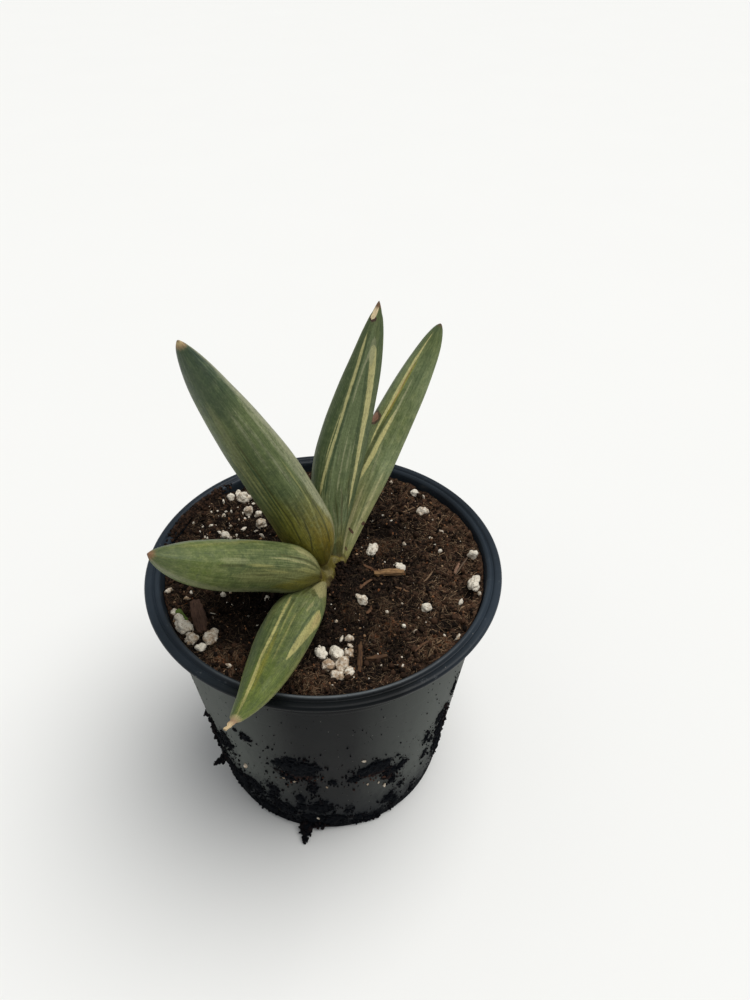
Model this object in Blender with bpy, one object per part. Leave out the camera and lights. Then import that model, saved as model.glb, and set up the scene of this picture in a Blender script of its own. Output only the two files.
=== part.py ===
"""Potted starfish snake plant: five thick pointed leaves on a short crown, in a
round black nursery pot that is filled with potting soil.

Run with: blender --background --python part.py
Sizes are in millimetres and become metres where each mesh is made. +Z is up,
the pot stands on z = 0 with its axis on Z, and the plant's front faces -Y.
"""

import math
import random

import bmesh
import bpy
from mathutils import Matrix, Vector, noise

MM = 0.001
GAP = 0.3                 # clearance between pieces that touch
SEGMENTS = 56             # sides of the pot and the soil

# Pot
POT_HEIGHT = 91.0
POT_RIM_RADIUS = 55.0
POT_WALL_TOP_RADIUS = 50.1
POT_BASE_RADIUS = 40.6
POT_WALL = 1.2
POT_FLOOR = 1.5
POT_EDGE_ROUND = 0.9      # bevel at the foot of the wall
POT_SHOULDER_Z = 80.5     # start of the slightly wider band below the rim
POT_SHOULDER_STEP = 0.5
POT_PAD_RADIUS = 18.0     # flat pad under the middle
POT_RECESS_RADIUS = 36.5  # raised ring around the pad, which holds the drains
POT_RECESS_HEIGHT = 2.0
POT_RECESS_SLOPE = 2.0
DRAIN_HOLES = 8
DRAIN_RADIUS = 3.6
DRAIN_CIRCLE = 29.0
DRAIN_SIDES = 14
# Rolled rim, as offsets inwards from its outer radius and down from its top:
# from under the outer edge, over the flange and the groove, to the inner lip
RIM_SECTION = ((4.0, 2.7), (1.0, 2.3), (0.2, 1.6), (0.0, 0.9), (0.3, 0.35), (0.9, 0.1), (2.0, 0.15),
               (2.6, 0.65), (3.1, 0.3), (3.6, 0.0), (4.2, 0.15), (4.7, 0.8), (5.0, 2.6))
RIM_DROP = 3.2            # where the rim's underside meets the wall
FLARE_Z = 84.0            # where the wall starts to widen into the rim
FLARE_STEP = 0.6          # how much its outside widens there

# Soil
SOIL_LEVEL = 87.3
SOIL_TILT = 0.012         # rise per millimetre towards +X
SOIL_SIDE_Z = 79.2        # where the side turns steeper, below the wall's shoulder
SOIL_RINGS = 16
# Dip at the crown, two hollows on the left, a heap at the back left: x, y, height, reach
SOIL_FORMS = ((1.0, -1.0, -0.5, 12.2), (-22.0, -20.0, -2.6, 19.5), (-6.0, -20.0, -1.2, 11.0),
              (-31.0, 37.0, 1.2, 14.0))
# Lumps: height, width, and the slice of the noise field
SOIL_LUMPS = ((1.5, 9.0, 3.1), (1.0, 4.2, 7.7))
SOIL_EDGE_START = 42.0    # from here the soil rises against the wall
SOIL_EDGE_REACH = 7.0
SOIL_EDGE_RISE = 0.6
SOIL_EDGE_LIMIT = 89.7    # it stays below the rim's top

# Leaves. Each axis is a cubic curve from base to tip. channel_side is the way
# the shallow channel faces. The width grows from a share of the full width at
# the base to all of it at base_end, and narrows from taper_from to the tip.
LEAVES = {
    "leaf_left_low": dict(
        axis=((-1.4, -7.2, 89.9), (-16.6, -10.1, 104.5), (-30.9, -23.1, 110.1), (-44.5, -28.8, 123.7)),
        channel_side=(0.25, 0.80, 0.60), width=17.0, base=0.055, base_end=0.252,
        taper_from=0.453, taper=2.362, blunt=0.737, thickness=0.92, channel=0.10),
    "leaf_left_upright": dict(
        axis=((-0.5, -1.6, 90.1), (-9.4, 5.9, 116.6), (-25.9, 4.0, 142.5), (-32.8, -4.5, 169.8)),
        channel_side=(0.55, 0.80, 0.30), width=19.3, base=0.118, base_end=0.196,
        taper_from=0.376, taper=1.517, blunt=0.641, thickness=0.84, channel=0.10),
    "leaf_front": dict(
        axis=((-0.2, -6.0, 87.1), (-12.8, -23.9, 94.6), (-13.7, -50.4, 95.8), (-24.4, -69.3, 106.0)),
        channel_side=(0.05, 0.35, 0.95), width=15.3, base=0.054, base_end=0.348,
        taper_from=0.357, taper=1.942, blunt=1.0, thickness=0.62, channel=0.12),
    "leaf_back_middle": dict(
        axis=((3.4, 2.2, 88.3), (-1.3, 17.9, 111.7), (14.8, 26.2, 136.7), (18.0, 27.2, 163.9)),
        channel_side=(-0.10, -0.90, 0.40), width=15.7, base=0.184, base_end=0.452,
        taper_from=0.247, taper=1.876, blunt=0.767, thickness=0.54, channel=0.16),
    "leaf_back_right": dict(
        axis=((5.7, 2.1, 87.0), (10.5, 23.2, 104.9), (27.9, 34.1, 126.5), (37.5, 35.6, 152.2)),
        channel_side=(-0.45, -0.80, 0.40), width=14.0, base=0.140, base_end=0.491,
        taper_from=0.284, taper=2.131, blunt=0.584, thickness=0.60, channel=0.14),
}
LEAF_RINGS = 22
LEAF_SIDES = 20
LEAF_BASE_DOME = 0.25     # how far the rounded base stands below its axis
CHANNEL_SPREAD = 0.42     # half width of the channel, as a share of the leaf's

# Crown: an upright stem, then a short arm to the base of each leaf, each from
# a point inside the stem to its end, with its radius
CROWN_STEM = ((0.6, -1.4, 74.0), (0.0, -3.2, 89.4), 3.6)
CROWN_ARMS = (
    ((0.2, -2.6, 83.0), (-4.2, -7.2, 91.0), 2.7),
    ((0.3, -1.6, 83.0), (-1.2, 0.2, 93.0), 3.0),
    ((0.2, -2.6, 81.5), (-1.8, -8.6, 87.2), 2.8),
    ((0.8, -1.6, 82.0), (3.3, 2.8, 90.0), 2.4),
    ((0.8, -1.6, 80.0), (5.9, 3.2, 88.6), 2.2),
)
CROWN_SIDES = 12
ARM_TAPER = ((0.0, 1.1), (0.45, 1.05), (0.8, 0.95), (0.94, 0.7))

# Larger perlite grains: place and mean radius, group by group: the pile in
# front, the chain along the left wall, the heap at the back left, the rest
PERLITE = (
    (5.6, -33.7, 1.05), (6.3, -29.3, 0.95), (-2.2, -33.7, 1.5), (2.1, -34.0, 1.95),
    (3.6, -38.3, 1.8), (-0.4, -38.5, 1.45), (1.9, -42.3, 1.55), (5.4, -41.3, 1.15),
    (-44.9, -15.4, 1.2), (-43.5, -18.5, 1.4), (-41.3, -22.0, 1.8), (-39.0, -26.3, 1.55),
    (-36.0, -29.5, 1.1), (-33.7, -25.1, 1.9),
    (-29.0, 37.4, 1.4), (-31.8, 35.2, 1.3), (-27.0, 33.3, 1.8), (-25.2, 27.8, 1.4),
    (-21.8, 25.5, 1.0), (-20.9, 21.5, 1.4), (-32.5, 16.8, 1.1),
    (45.3, -11.6, 1.85), (47.3, 0.5, 1.2), (33.8, 23.2, 1.6), (32.3, 33.7, 1.1),
    (23.4, -1.0, 1.25), (15.0, 5.7, 1.5), (10.5, -15.7, 1.4), (29.5, -20.2, 1.3),
)
PERLITE_RISE = 0.35       # share of its size that a grain's centre stands up

# Bark chips: centre, length, width, thickness, turn in degrees
BARK_CHIPS = {
    "bark_chip_left": ((-38.1, -16.2), 13.6, 4.4, 2.6, 106.0),
    "bark_stick_front": ((8.8, -34.0), 15.0, 1.5, 1.5, 85.0),
    "bark_stick_short": ((13.3, -37.0), 6.2, 1.4, 1.2, 9.0),
    "bark_chip_right": ((19.8, -4.2), 9.4, 2.4, 1.8, 2.0),
}
BARK_RISE = 0.15
BARK_PITCH = 3.0
# Stations of a chip: place along its length, scale, lift. Then its outline.
BARK_STATIONS = ((-0.5, 0.55, 0.1), (-0.3, 0.95, 0.0), (0.1, 1.0, 0.12), (0.5, 0.7, 0.0))
BARK_OUTLINE = ((-0.5, -0.3), (0.0, -0.5), (0.5, -0.25), (0.46, 0.3), (0.05, 0.5), (-0.44, 0.36))


def clear_scene():
    for item in list(bpy.data.objects):
        bpy.data.objects.remove(item, do_unlink=True)


def make_material(name, colour, roughness):
    material = bpy.data.materials.new(name)
    material.use_nodes = True
    shader = material.node_tree.nodes["Principled BSDF"]
    shader.inputs["Base Color"].default_value = (*colour, 1.0)
    shader.inputs["Roughness"].default_value = roughness
    material.diffuse_color = (*colour, 1.0)
    return material


def make_object(name, bm, parent=None, material=None):
    """Turns a closed bmesh in millimetres into an object in metres."""
    bmesh.ops.recalc_face_normals(bm, faces=bm.faces)
    bmesh.ops.scale(bm, vec=(MM, MM, MM), verts=bm.verts)
    mesh = bpy.data.meshes.new(name)
    bm.to_mesh(mesh)
    bm.free()
    item = bpy.data.objects.new(name, mesh)
    bpy.context.scene.collection.objects.link(item)
    item.parent = parent
    if material is not None:
        mesh.materials.append(material)
    return item


def loft(rings):
    """Skins rings of points in order. A ring of one point closes an end."""
    bm = bmesh.new()
    rows = [[bm.verts.new(point) for point in ring] for ring in rings]
    for a, b in zip(rows, rows[1:]):
        sides = max(len(a), len(b))
        for k in range(sides):
            n = (k + 1) % sides
            if len(a) == 1:
                bm.faces.new((a[0], b[k], b[n]))
            elif len(b) == 1:
                bm.faces.new((a[k], b[0], a[n]))
            else:
                bm.faces.new((a[k], b[k], b[n], a[n]))
    return bm


def circle(radius, z, sides=SEGMENTS):
    turns = [2 * math.pi * k / sides for k in range(sides)]
    return [Vector((radius * math.cos(t), radius * math.sin(t), z)) for t in turns]


def turned(profile):
    """Rings of a turned form, from (radius, z) points that end on the axis."""
    return [circle(r, z) if r > 0 else [Vector((0, 0, z))] for r, z in profile]


def boolean(item, cutter, operation="DIFFERENCE"):
    """Applies a Boolean of the cutter to the item, and removes the cutter."""
    cutter.hide_render = True
    cutter.display_type = "WIRE"
    modifier = item.modifiers.new("boolean", "BOOLEAN")
    modifier.object = cutter
    modifier.operation = operation
    modifier.solver = "EXACT"
    bpy.context.view_layer.update()
    evaluated = item.evaluated_get(bpy.context.evaluated_depsgraph_get())
    mesh = bpy.data.meshes.new_from_object(evaluated)
    item.modifiers.clear()
    item.data = mesh
    bpy.data.objects.remove(cutter, do_unlink=True)


def face_islands(bm):
    """Groups of faces that hang together, the largest last."""
    islands, seen = [], set()
    for start in bm.faces:
        if start in seen:
            continue
        seen.add(start)
        group, stack = [], [start]
        while stack:
            face = stack.pop()
            group.append(face)
            near = {other for edge in face.edges for other in edge.link_faces} - seen
            seen |= near
            stack.extend(near)
        islands.append(group)
    return sorted(islands, key=len)


def finish(item, material=None, merge=2e-5, sharp=math.radians(40)):
    """Merges near vertices, drops loose scraps, and shades the piece smooth."""
    bm = bmesh.new()
    bm.from_mesh(item.data)
    bmesh.ops.remove_doubles(bm, verts=bm.verts, dist=merge)
    bmesh.ops.dissolve_degenerate(bm, edges=bm.edges, dist=merge)
    bmesh.ops.triangulate(bm, faces=bm.faces)
    for group in face_islands(bm)[:-1]:
        bmesh.ops.delete(bm, geom=group, context="FACES")
    loose = [v for v in bm.verts if not v.link_faces]
    bmesh.ops.delete(bm, geom=loose, context="VERTS")
    bmesh.ops.recalc_face_normals(bm, faces=bm.faces)
    bm.to_mesh(item.data)
    bm.free()
    if material is not None:
        item.data.materials.clear()
        item.data.materials.append(material)
    item.data.shade_smooth()
    item.data.set_sharp_from_angle(angle=sharp)


def wall_radius(z):
    """Outer radius of the pot's wall at height z, below and above the shoulder."""
    top = POT_WALL_TOP_RADIUS - POT_SHOULDER_STEP
    radius = POT_BASE_RADIUS + (top - POT_BASE_RADIUS) * min(z, POT_SHOULDER_Z) / POT_SHOULDER_Z
    return radius + (POT_SHOULDER_STEP if z > POT_SHOULDER_Z else 0.0)


def inner_radius(z):
    return wall_radius(z) - POT_WALL


def floor_section(lift):
    """The pot floor's upper side, from the axis to the wall, raised by lift."""
    low = POT_FLOOR + lift
    high = low + POT_RECESS_HEIGHT
    return [(0.0, low), (POT_PAD_RADIUS, low), (POT_PAD_RADIUS + POT_RECESS_SLOPE, high),
            (POT_RECESS_RADIUS - POT_RECESS_SLOPE, high), (POT_RECESS_RADIUS, low),
            (inner_radius(low) - lift, low)]


def build_pot(root, material):
    under = [(0.0, 0.0), (POT_PAD_RADIUS, 0.0), (POT_PAD_RADIUS + POT_RECESS_SLOPE, POT_RECESS_HEIGHT),
             (POT_RECESS_RADIUS - POT_RECESS_SLOPE, POT_RECESS_HEIGHT), (POT_RECESS_RADIUS, 0.0),
             (POT_BASE_RADIUS - POT_EDGE_ROUND, 0.0)]
    wall = [(wall_radius(POT_EDGE_ROUND), POT_EDGE_ROUND),
            (wall_radius(POT_SHOULDER_Z), POT_SHOULDER_Z),
            (POT_WALL_TOP_RADIUS, POT_SHOULDER_Z + POT_SHOULDER_STEP),
            (POT_WALL_TOP_RADIUS, FLARE_Z), (POT_WALL_TOP_RADIUS + FLARE_STEP, POT_HEIGHT - RIM_DROP)]
    rim = [(POT_RIM_RADIUS - inward, POT_HEIGHT - down) for inward, down in RIM_SECTION]
    inside = [(inner_radius(FLARE_Z), FLARE_Z),
              (inner_radius(POT_SHOULDER_Z), POT_SHOULDER_Z - POT_SHOULDER_STEP)]
    pot = make_object("pot", loft(turned(under + wall + rim + inside + floor_section(0.0)[::-1])), root, material)
    for k in range(DRAIN_HOLES):
        angle = 2 * math.pi * (k + 0.5) / DRAIN_HOLES
        bm = bmesh.new()
        bmesh.ops.create_cone(bm, cap_ends=True, segments=DRAIN_SIDES, radius1=DRAIN_RADIUS,
                              radius2=DRAIN_RADIUS, depth=4 * (POT_FLOOR + POT_RECESS_HEIGHT))
        drain = make_object("drain_cutter", bm)
        drain.location = Vector((math.cos(angle), math.sin(angle), 0)) * DRAIN_CIRCLE * MM
        boolean(pot, drain)
    finish(pot)
    return pot


def soil_height(x, y):
    """Height of the lumpy soil above the pot's foot."""
    z = SOIL_LEVEL + SOIL_TILT * x
    for cx, cy, height, reach in SOIL_FORMS:
        z += height * math.exp(-((x - cx) ** 2 + (y - cy) ** 2) / reach ** 2)
    for height, width, level in SOIL_LUMPS:
        z += height * noise.noise(Vector((x / width, y / width, level)))
    edge = max(0.0, (math.hypot(x, y) - SOIL_EDGE_START) / SOIL_EDGE_REACH)
    return min(z + SOIL_EDGE_RISE * edge ** 2, SOIL_EDGE_LIMIT)


def soil_reach(z):
    """Radius of the soil's side at height z above the flare, next to the wall."""
    inward, down = RIM_SECTION[-1]
    lip = Vector((POT_RIM_RADIUS - inward, POT_HEIGHT - down))
    low = Vector((inner_radius(FLARE_Z), FLARE_Z))
    return low.lerp(lip, min(1.0, (z - low.y) / (lip.y - low.y))).x - GAP


def build_soil(root, material):
    side = [(inner_radius(z) - GAP, z) for z in (SOIL_SIDE_Z, FLARE_Z)]
    rings = turned(floor_section(GAP) + side)
    reach = soil_reach(POT_HEIGHT)
    for i in range(SOIL_RINGS):
        ring = circle(reach * (1 - i / SOIL_RINGS), 0.0)
        for point in ring:
            point.z = soil_height(point.x, point.y)
            if i == 0:
                point.xy *= soil_reach(point.z) / reach
        rings.append(ring)
    rings.append([Vector((0, 0, soil_height(0, 0)))])
    return make_object("soil", loft(rings), root, material)


def axis_point(axis, s):
    a, b, c, d = (Vector(p) for p in axis)
    return (1 - s) ** 3 * a + 3 * s * (1 - s) ** 2 * b + 3 * s * s * (1 - s) * c + s ** 3 * d


def axis_tangent(axis, s):
    a, b, c, d = (Vector(p) for p in axis)
    return ((1 - s) ** 2 * (b - a) + 2 * s * (1 - s) * (c - b) + s * s * (d - c)).normalized()


def leaf_width(leaf, s):
    grow = 1 - (1 - leaf["base"]) * max(0.0, 1 - s / leaf["base_end"]) ** 2
    t = max(0.0, (s - leaf["taper_from"]) / (1 - leaf["taper_from"]))
    return leaf["width"] * grow * (1 - t ** leaf["taper"]) ** leaf["blunt"]


def leaf_ring(leaf, s, swell):
    """One cross-section: a flattened round with a channel along its top."""
    axis, side = leaf["axis"], Vector(leaf["channel_side"])
    along = axis_tangent(axis, s)
    up = (side - along * side.dot(along)).normalized()
    across = along.cross(up)
    half = leaf_width(leaf, s) / 2
    depth = 2 * leaf["channel"] * min(1.0, 6 * s) * (1 - s * s)
    ring = []
    for k in range(LEAF_SIDES):
        u = math.cos(2 * math.pi * k / LEAF_SIDES)
        v = math.sin(2 * math.pi * k / LEAF_SIDES)
        if v > 0:
            v -= depth * math.exp(-(u / CHANNEL_SPREAD) ** 2)
        reach = across * (u * (half + swell)) + up * (v * (half * leaf["thickness"] + swell))
        ring.append(axis_point(axis, s) + reach)
    return ring


def leaf_solid(name, leaf, swell=0.0, root=None, material=None):
    axis = leaf["axis"]
    rings = [[axis_point(axis, 0) - axis_tangent(axis, 0) * (swell + LEAF_BASE_DOME)]]
    for i in range(1, LEAF_RINGS):
        rings.append(leaf_ring(leaf, 0.5 - 0.5 * math.cos(math.pi * i / LEAF_RINGS), swell))
    rings.append([axis_point(axis, 1) + axis_tangent(axis, 1) * swell])
    return make_object(name, loft(rings), root, material)


def crown_arm(name, start, end, radius, swell=0.0, root=None):
    """A round arm that narrows a little and ends in a dome."""
    start, end = Vector(start), Vector(end)
    along = (end - start).normalized()
    across = along.orthogonal().normalized()
    turn = Matrix((across, along.cross(across), along)).transposed()
    rings = [[start - along * swell]]
    for share, scale in ARM_TAPER:
        ring = circle(radius * scale + swell, share * (end - start).length, CROWN_SIDES)
        rings.append([start + turn @ point for point in ring])
    rings.append([end + along * swell])
    return make_object(name, loft(rings), root)


def crown_solid(name, swell=0.0, root=None):
    crown = crown_arm(name, *CROWN_STEM, swell, root)
    for arm in CROWN_ARMS:
        boolean(crown, crown_arm("arm_cutter", *arm, swell), "UNION")
    return crown


def build_plant(root, leaf_material, crown_material):
    """Leaves and crown. Each leaf is cut to fit round those in front of it."""
    leaves = [leaf_solid(name, leaf, 0.0, root, leaf_material) for name, leaf in LEAVES.items()]
    crown = crown_solid("crown", 0.0, root)
    for i, front in enumerate(LEAVES.values()):
        for behind in leaves[i + 1:] + [crown]:
            boolean(behind, leaf_solid("fit_cutter", front, GAP))
    for leaf in leaves:
        finish(leaf)
    finish(crown, crown_material)


def grain_solid(name, size, seed, swell=0.0, material=None):
    """A knobbly grain of perlite, round its own centre."""
    rng = random.Random(seed)
    stretch = Vector((rng.uniform(0.95, 1.25), rng.uniform(0.8, 1.0), rng.uniform(0.75, 0.95)))
    offset = Vector((rng.uniform(0, 50), rng.uniform(0, 50), rng.uniform(0, 50)))
    bm = bmesh.new()
    bmesh.ops.create_icosphere(bm, subdivisions=2, radius=1.0)
    for v in bm.verts:
        out = v.co.copy()
        v.co = out * stretch * (size * (1 + 0.22 * noise.noise(out * 1.7 + offset))) + out * swell
    return make_object(name, bm, None, material)


def chip_solid(name, length, width, thickness, swell=0.0, material=None):
    """A split sliver of bark with tapered ends, round its own centre."""
    rings = []
    for share, scale, lift in BARK_STATIONS:
        x = share * length + math.copysign(swell, share)
        rings.append([Vector((x, a * width * scale + math.copysign(swell, a),
                              (b + lift) * thickness * scale + math.copysign(swell, b)))
                      for a, b in BARK_OUTLINE])
    bm = loft(rings)
    bmesh.ops.holes_fill(bm, edges=[e for e in bm.edges if e.is_boundary])
    return make_object(name, bm, None, material)


def place(item, x, y, z, rotation, root):
    item.location = Vector((x, y, z)) * MM
    item.rotation_euler = rotation
    item.parent = root
    return item


def bed(soil, root, x, y, rise, rotation, solid, name, material):
    """Lays a loose piece in the soil, in a pocket that clears it by the gap."""
    z = soil_height(x, y) + rise
    place(solid(name, 0.0, material), x, y, z, rotation, root)
    boolean(soil, place(solid("pocket_cutter", GAP, None), x, y, z, rotation, root))


def build_ground(root, soil, white, bark):
    """Beds the perlite and bark, and opens the soil round crown and leaves."""
    for i, (x, y, size) in enumerate(PERLITE, 1):
        rng = random.Random(100 + i)
        rotation = [rng.uniform(0, 2 * math.pi) for _ in range(3)]
        bed(soil, root, x, y, PERLITE_RISE * size, rotation,
            lambda name, swell, material: grain_solid(name, size, i, swell, material),
            "perlite_%02d" % i, white)
    for name, ((x, y), length, width, thickness, turn) in BARK_CHIPS.items():
        rotation = (0.0, math.radians(BARK_PITCH), math.radians(turn))
        bed(soil, root, x, y, BARK_RISE * thickness, rotation,
            lambda title, swell, material: chip_solid(title, length, width, thickness, swell, material),
            name, bark)
    boolean(soil, crown_solid("crown_cutter", GAP))
    for leaf in LEAVES.values():
        boolean(soil, leaf_solid("leaf_cutter", leaf, GAP))
    finish(soil)


def main():
    clear_scene()
    root = bpy.data.objects.new("potted_plant", None)
    bpy.context.scene.collection.objects.link(root)

    plastic = make_material("PotPlastic", (0.020, 0.022, 0.024), 0.42)
    earth = make_material("PottingSoil", (0.030, 0.017, 0.010), 0.95)
    skin = make_material("LeafSkin", (0.115, 0.190, 0.085), 0.45)
    stem = make_material("CrownTissue", (0.300, 0.330, 0.110), 0.50)
    white = make_material("Perlite", (0.760, 0.740, 0.690), 0.90)
    bark = make_material("BarkChip", (0.110, 0.050, 0.025), 0.85)

    build_pot(root, plastic)
    soil = build_soil(root, earth)
    build_plant(root, skin, stem)
    build_ground(root, soil, white, bark)


if __name__ == "__main__":
    main()
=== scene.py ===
"""Looks of the potted starfish snake plant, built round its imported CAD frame.

Run as a script in Blender 4.5. Sizes and places are in millimetres in the frame of
the CAD: the pot stands on z = 0 with its axis on Z, and the plant's front faces -Y.
They become metres where each mesh is made. Screen colours are given as 0 to 255.
"""

import math
import random

import bmesh
import bpy
import numpy as np
from bpy.props import FloatProperty, FloatVectorProperty, IntProperty, PointerProperty
from bpy.types import Operator, Panel, PropertyGroup
from mathutils import Matrix, Vector, noise


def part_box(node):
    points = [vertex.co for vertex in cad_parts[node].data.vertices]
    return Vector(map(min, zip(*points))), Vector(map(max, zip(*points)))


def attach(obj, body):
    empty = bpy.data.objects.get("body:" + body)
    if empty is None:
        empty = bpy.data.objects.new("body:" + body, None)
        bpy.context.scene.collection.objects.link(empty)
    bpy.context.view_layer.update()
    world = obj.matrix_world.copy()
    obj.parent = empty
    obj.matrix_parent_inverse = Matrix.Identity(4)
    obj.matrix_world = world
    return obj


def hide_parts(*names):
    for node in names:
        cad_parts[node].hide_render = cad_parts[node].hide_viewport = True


bl_info = {
    "name": "Potted Snake Plant",
    "version": (1, 0, 0),
    "blender": (4, 5, 0),
    "location": "View3D > Sidebar > Snake Plant",
    "description": "Dresses the packed frame of a potted, variegated starfish snake plant",
    "category": "Object",
}

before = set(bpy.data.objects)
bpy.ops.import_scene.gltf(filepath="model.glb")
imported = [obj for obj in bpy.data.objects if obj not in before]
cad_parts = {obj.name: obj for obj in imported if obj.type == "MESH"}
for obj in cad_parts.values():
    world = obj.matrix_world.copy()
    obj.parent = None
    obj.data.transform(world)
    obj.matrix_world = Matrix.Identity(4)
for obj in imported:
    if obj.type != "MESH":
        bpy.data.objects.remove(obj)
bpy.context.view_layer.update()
MM = 0.001

# Pot, as in the CAD
POT_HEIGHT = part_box("pot")[1].z / MM
POT_RIM_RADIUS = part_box("pot")[1].x / MM
POT_WALL_TOP_RADIUS = 50.1
POT_BASE_RADIUS = 40.6
POT_WALL = 1.2
POT_FLOOR = 1.5
POT_EDGE_ROUND = 0.9
POT_SHOULDER_Z = 80.5
POT_SHOULDER_STEP = 0.5
POT_PAD_RADIUS = 18.0
POT_RECESS_RADIUS = 36.5
POT_RECESS_HEIGHT = 2.0
POT_RECESS_SLOPE = 2.0
DRAIN_HOLES = 8
DRAIN_RADIUS = 3.6
DRAIN_CIRCLE = 29.0
RIM_DROP = 3.2
FLARE_Z = 84.0
FLARE_STEP = 0.6
# Rolled rim, as offsets inwards from its outer radius and down from its top
RIM_SECTION = ((4, 2.7), (1, 2.3), (0.2, 1.6), (0, 0.9), (0.3, 0.35), (0.9, 0.1), (2, 0.15), (2.6, 0.65),
               (3.1, 0.3), (3.6, 0), (4.2, 0.15), (4.7, 0.8), (5, 2.6))
SOIL_RADIUS = POT_RIM_RADIUS - RIM_SECTION[-1][0] - 0.3
MOULD_LINE = 71.0       # height of the faint line round the wall
LEAST_SHEEN_ANGLE = -93.0     # where the wall has the least dust and painted sheen: the side towards the camera
POT_SIDES = 240
POT_WALL_ROWS = 60
POT_INNER_ROWS = 12
RIM_STEPS = 4
POT_SHARP = 38          # edges of the pot are sharp from this angle on
DRAIN_SIDES = 40

# Soil, as in the CAD
GAP = 0.3
SOIL_LEVEL = 87.3
SOIL_TILT = 0.012
SOIL_SIDE_Z = 79.2
SOIL_FORMS = ((1, -1, -0.5, 12.2), (-22, -20, -2.6, 19.5), (-6, -20, -1.2, 11), (-31, 37, 1.2, 14))
SOIL_LUMPS = ((1.5, 9.0, 3.1), (1.0, 4.2, 7.7))
SOIL_EDGE_START = 42.0
SOIL_EDGE_REACH = 7.0
SOIL_EDGE_RISE = 0.6
SOIL_EDGE_LIMIT = 89.7
# A painted highlight on the rim's inner lip in front: how far in, angle and spread
LIP_CREST, LIP_HIGHLIGHT_ANGLE, LIP_HIGHLIGHT_SPREAD = 3.75, -88.0, 34.0
# The soil is banked up against the wall at the back left
SOIL_BANK_ANGLE, SOIL_BANK_SPREAD, SOIL_BANK_RISE = 149.0, 14.0, 1.8
RIM_CRUMBS = 1300       # crumbs on the rim's inner edge above that bank
LEAF_SHADE_SPOT = (-20, -16, 14)      # painted shade under the low leaf: x, y and reach
# Clumps of red-brown fibre: x, y, height, reach. Then hollows in the same way, which also get painted shade.
SOIL_CLUMPS = ((19.5, 7.5, 1.5, 4.2), (7.3, -19.3, 1.4, 3.6), (16.8, -17.8, 1.1, 4),
               (16.4, -28, 1.9, 4.6), (29.9, -33.3, 1.2, 4.4), (-27.7, -32.2, 1.8, 5.2),
               (-5.5, -44.6, 1.9, 4.6), (-12, 36, 1.2, 5))
SOIL_HOLLOWS = ((19, -33.5, -1.6, 2.8), (35, -27.5, -1.3, 2.6), (43, -13, -1.2, 2.4),
                (-12, -27, -1.4, 6.5), (8.8, -24.6, -1.2, 2.6), (21, 14.5, -1.1, 3.2))

FIBRE_STEPS = 4         # rings of points along a fibre
SLIVER_STEPS, SLIVER_SIDES = 12, 8
# Seeds of the random draws
SEEDS = {"crumbs": 5, "flecks": 13, "fibres": 8, "perlite": 17, "small_perlite": 21, "slivers": 77,
         "wall_crumbs": 33, "wall_grains": 40}

# Leaves, as in the CAD
LEAVES = {
    "leaf_left_low": dict(
        axis=((-1.4, -7.2, 89.9), (-16.6, -10.1, 104.5), (-30.9, -23.1, 110.1), (-44.5, -28.8, 123.7)),
        channel_side=(0.25, 0.80, 0.60), width=17.0, base=0.055, base_end=0.252,
        taper_from=0.453, taper=2.362, blunt=0.737, thickness=0.92, channel=0.10),
    "leaf_left_upright": dict(
        axis=((-0.5, -1.6, 90.1), (-9.4, 5.9, 116.6), (-25.9, 4.0, 142.5), (-32.8, -4.5, 169.8)),
        channel_side=(0.55, 0.80, 0.30), width=19.3, base=0.118, base_end=0.196,
        taper_from=0.376, taper=1.517, blunt=0.641, thickness=0.84, channel=0.10),
    "leaf_front": dict(
        axis=((-0.2, -6.0, 87.1), (-12.8, -23.9, 94.6), (-13.7, -50.4, 95.8), (-24.4, -69.3, 106.0)),
        channel_side=(0.05, 0.35, 0.95), width=15.3, base=0.054, base_end=0.348,
        taper_from=0.357, taper=1.942, blunt=1.0, thickness=0.62, channel=0.12),
    "leaf_back_middle": dict(
        axis=((3.4, 2.2, 88.3), (-1.3, 17.9, 111.7), (14.8, 26.2, 136.7), (18.0, 27.2, 163.9)),
        channel_side=(-0.10, -0.90, 0.40), width=15.7, base=0.184, base_end=0.452,
        taper_from=0.247, taper=1.876, blunt=0.767, thickness=0.54, channel=0.16),
    "leaf_back_right": dict(
        axis=((5.7, 2.1, 87.0), (10.5, 23.2, 104.9), (27.9, 34.1, 126.5), (37.5, 35.6, 152.2)),
        channel_side=(-0.45, -0.80, 0.40), width=14.0, base=0.140, base_end=0.491,
        taper_from=0.284, taper=2.131, blunt=0.584, thickness=0.60, channel=0.14),
}
CHANNEL_SPREAD = 0.42
LEAF_BASE_DOME = 0.25
SPINE_SHRINK = 0.022    # share of the leaf over which its dry tip gets narrower

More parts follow.
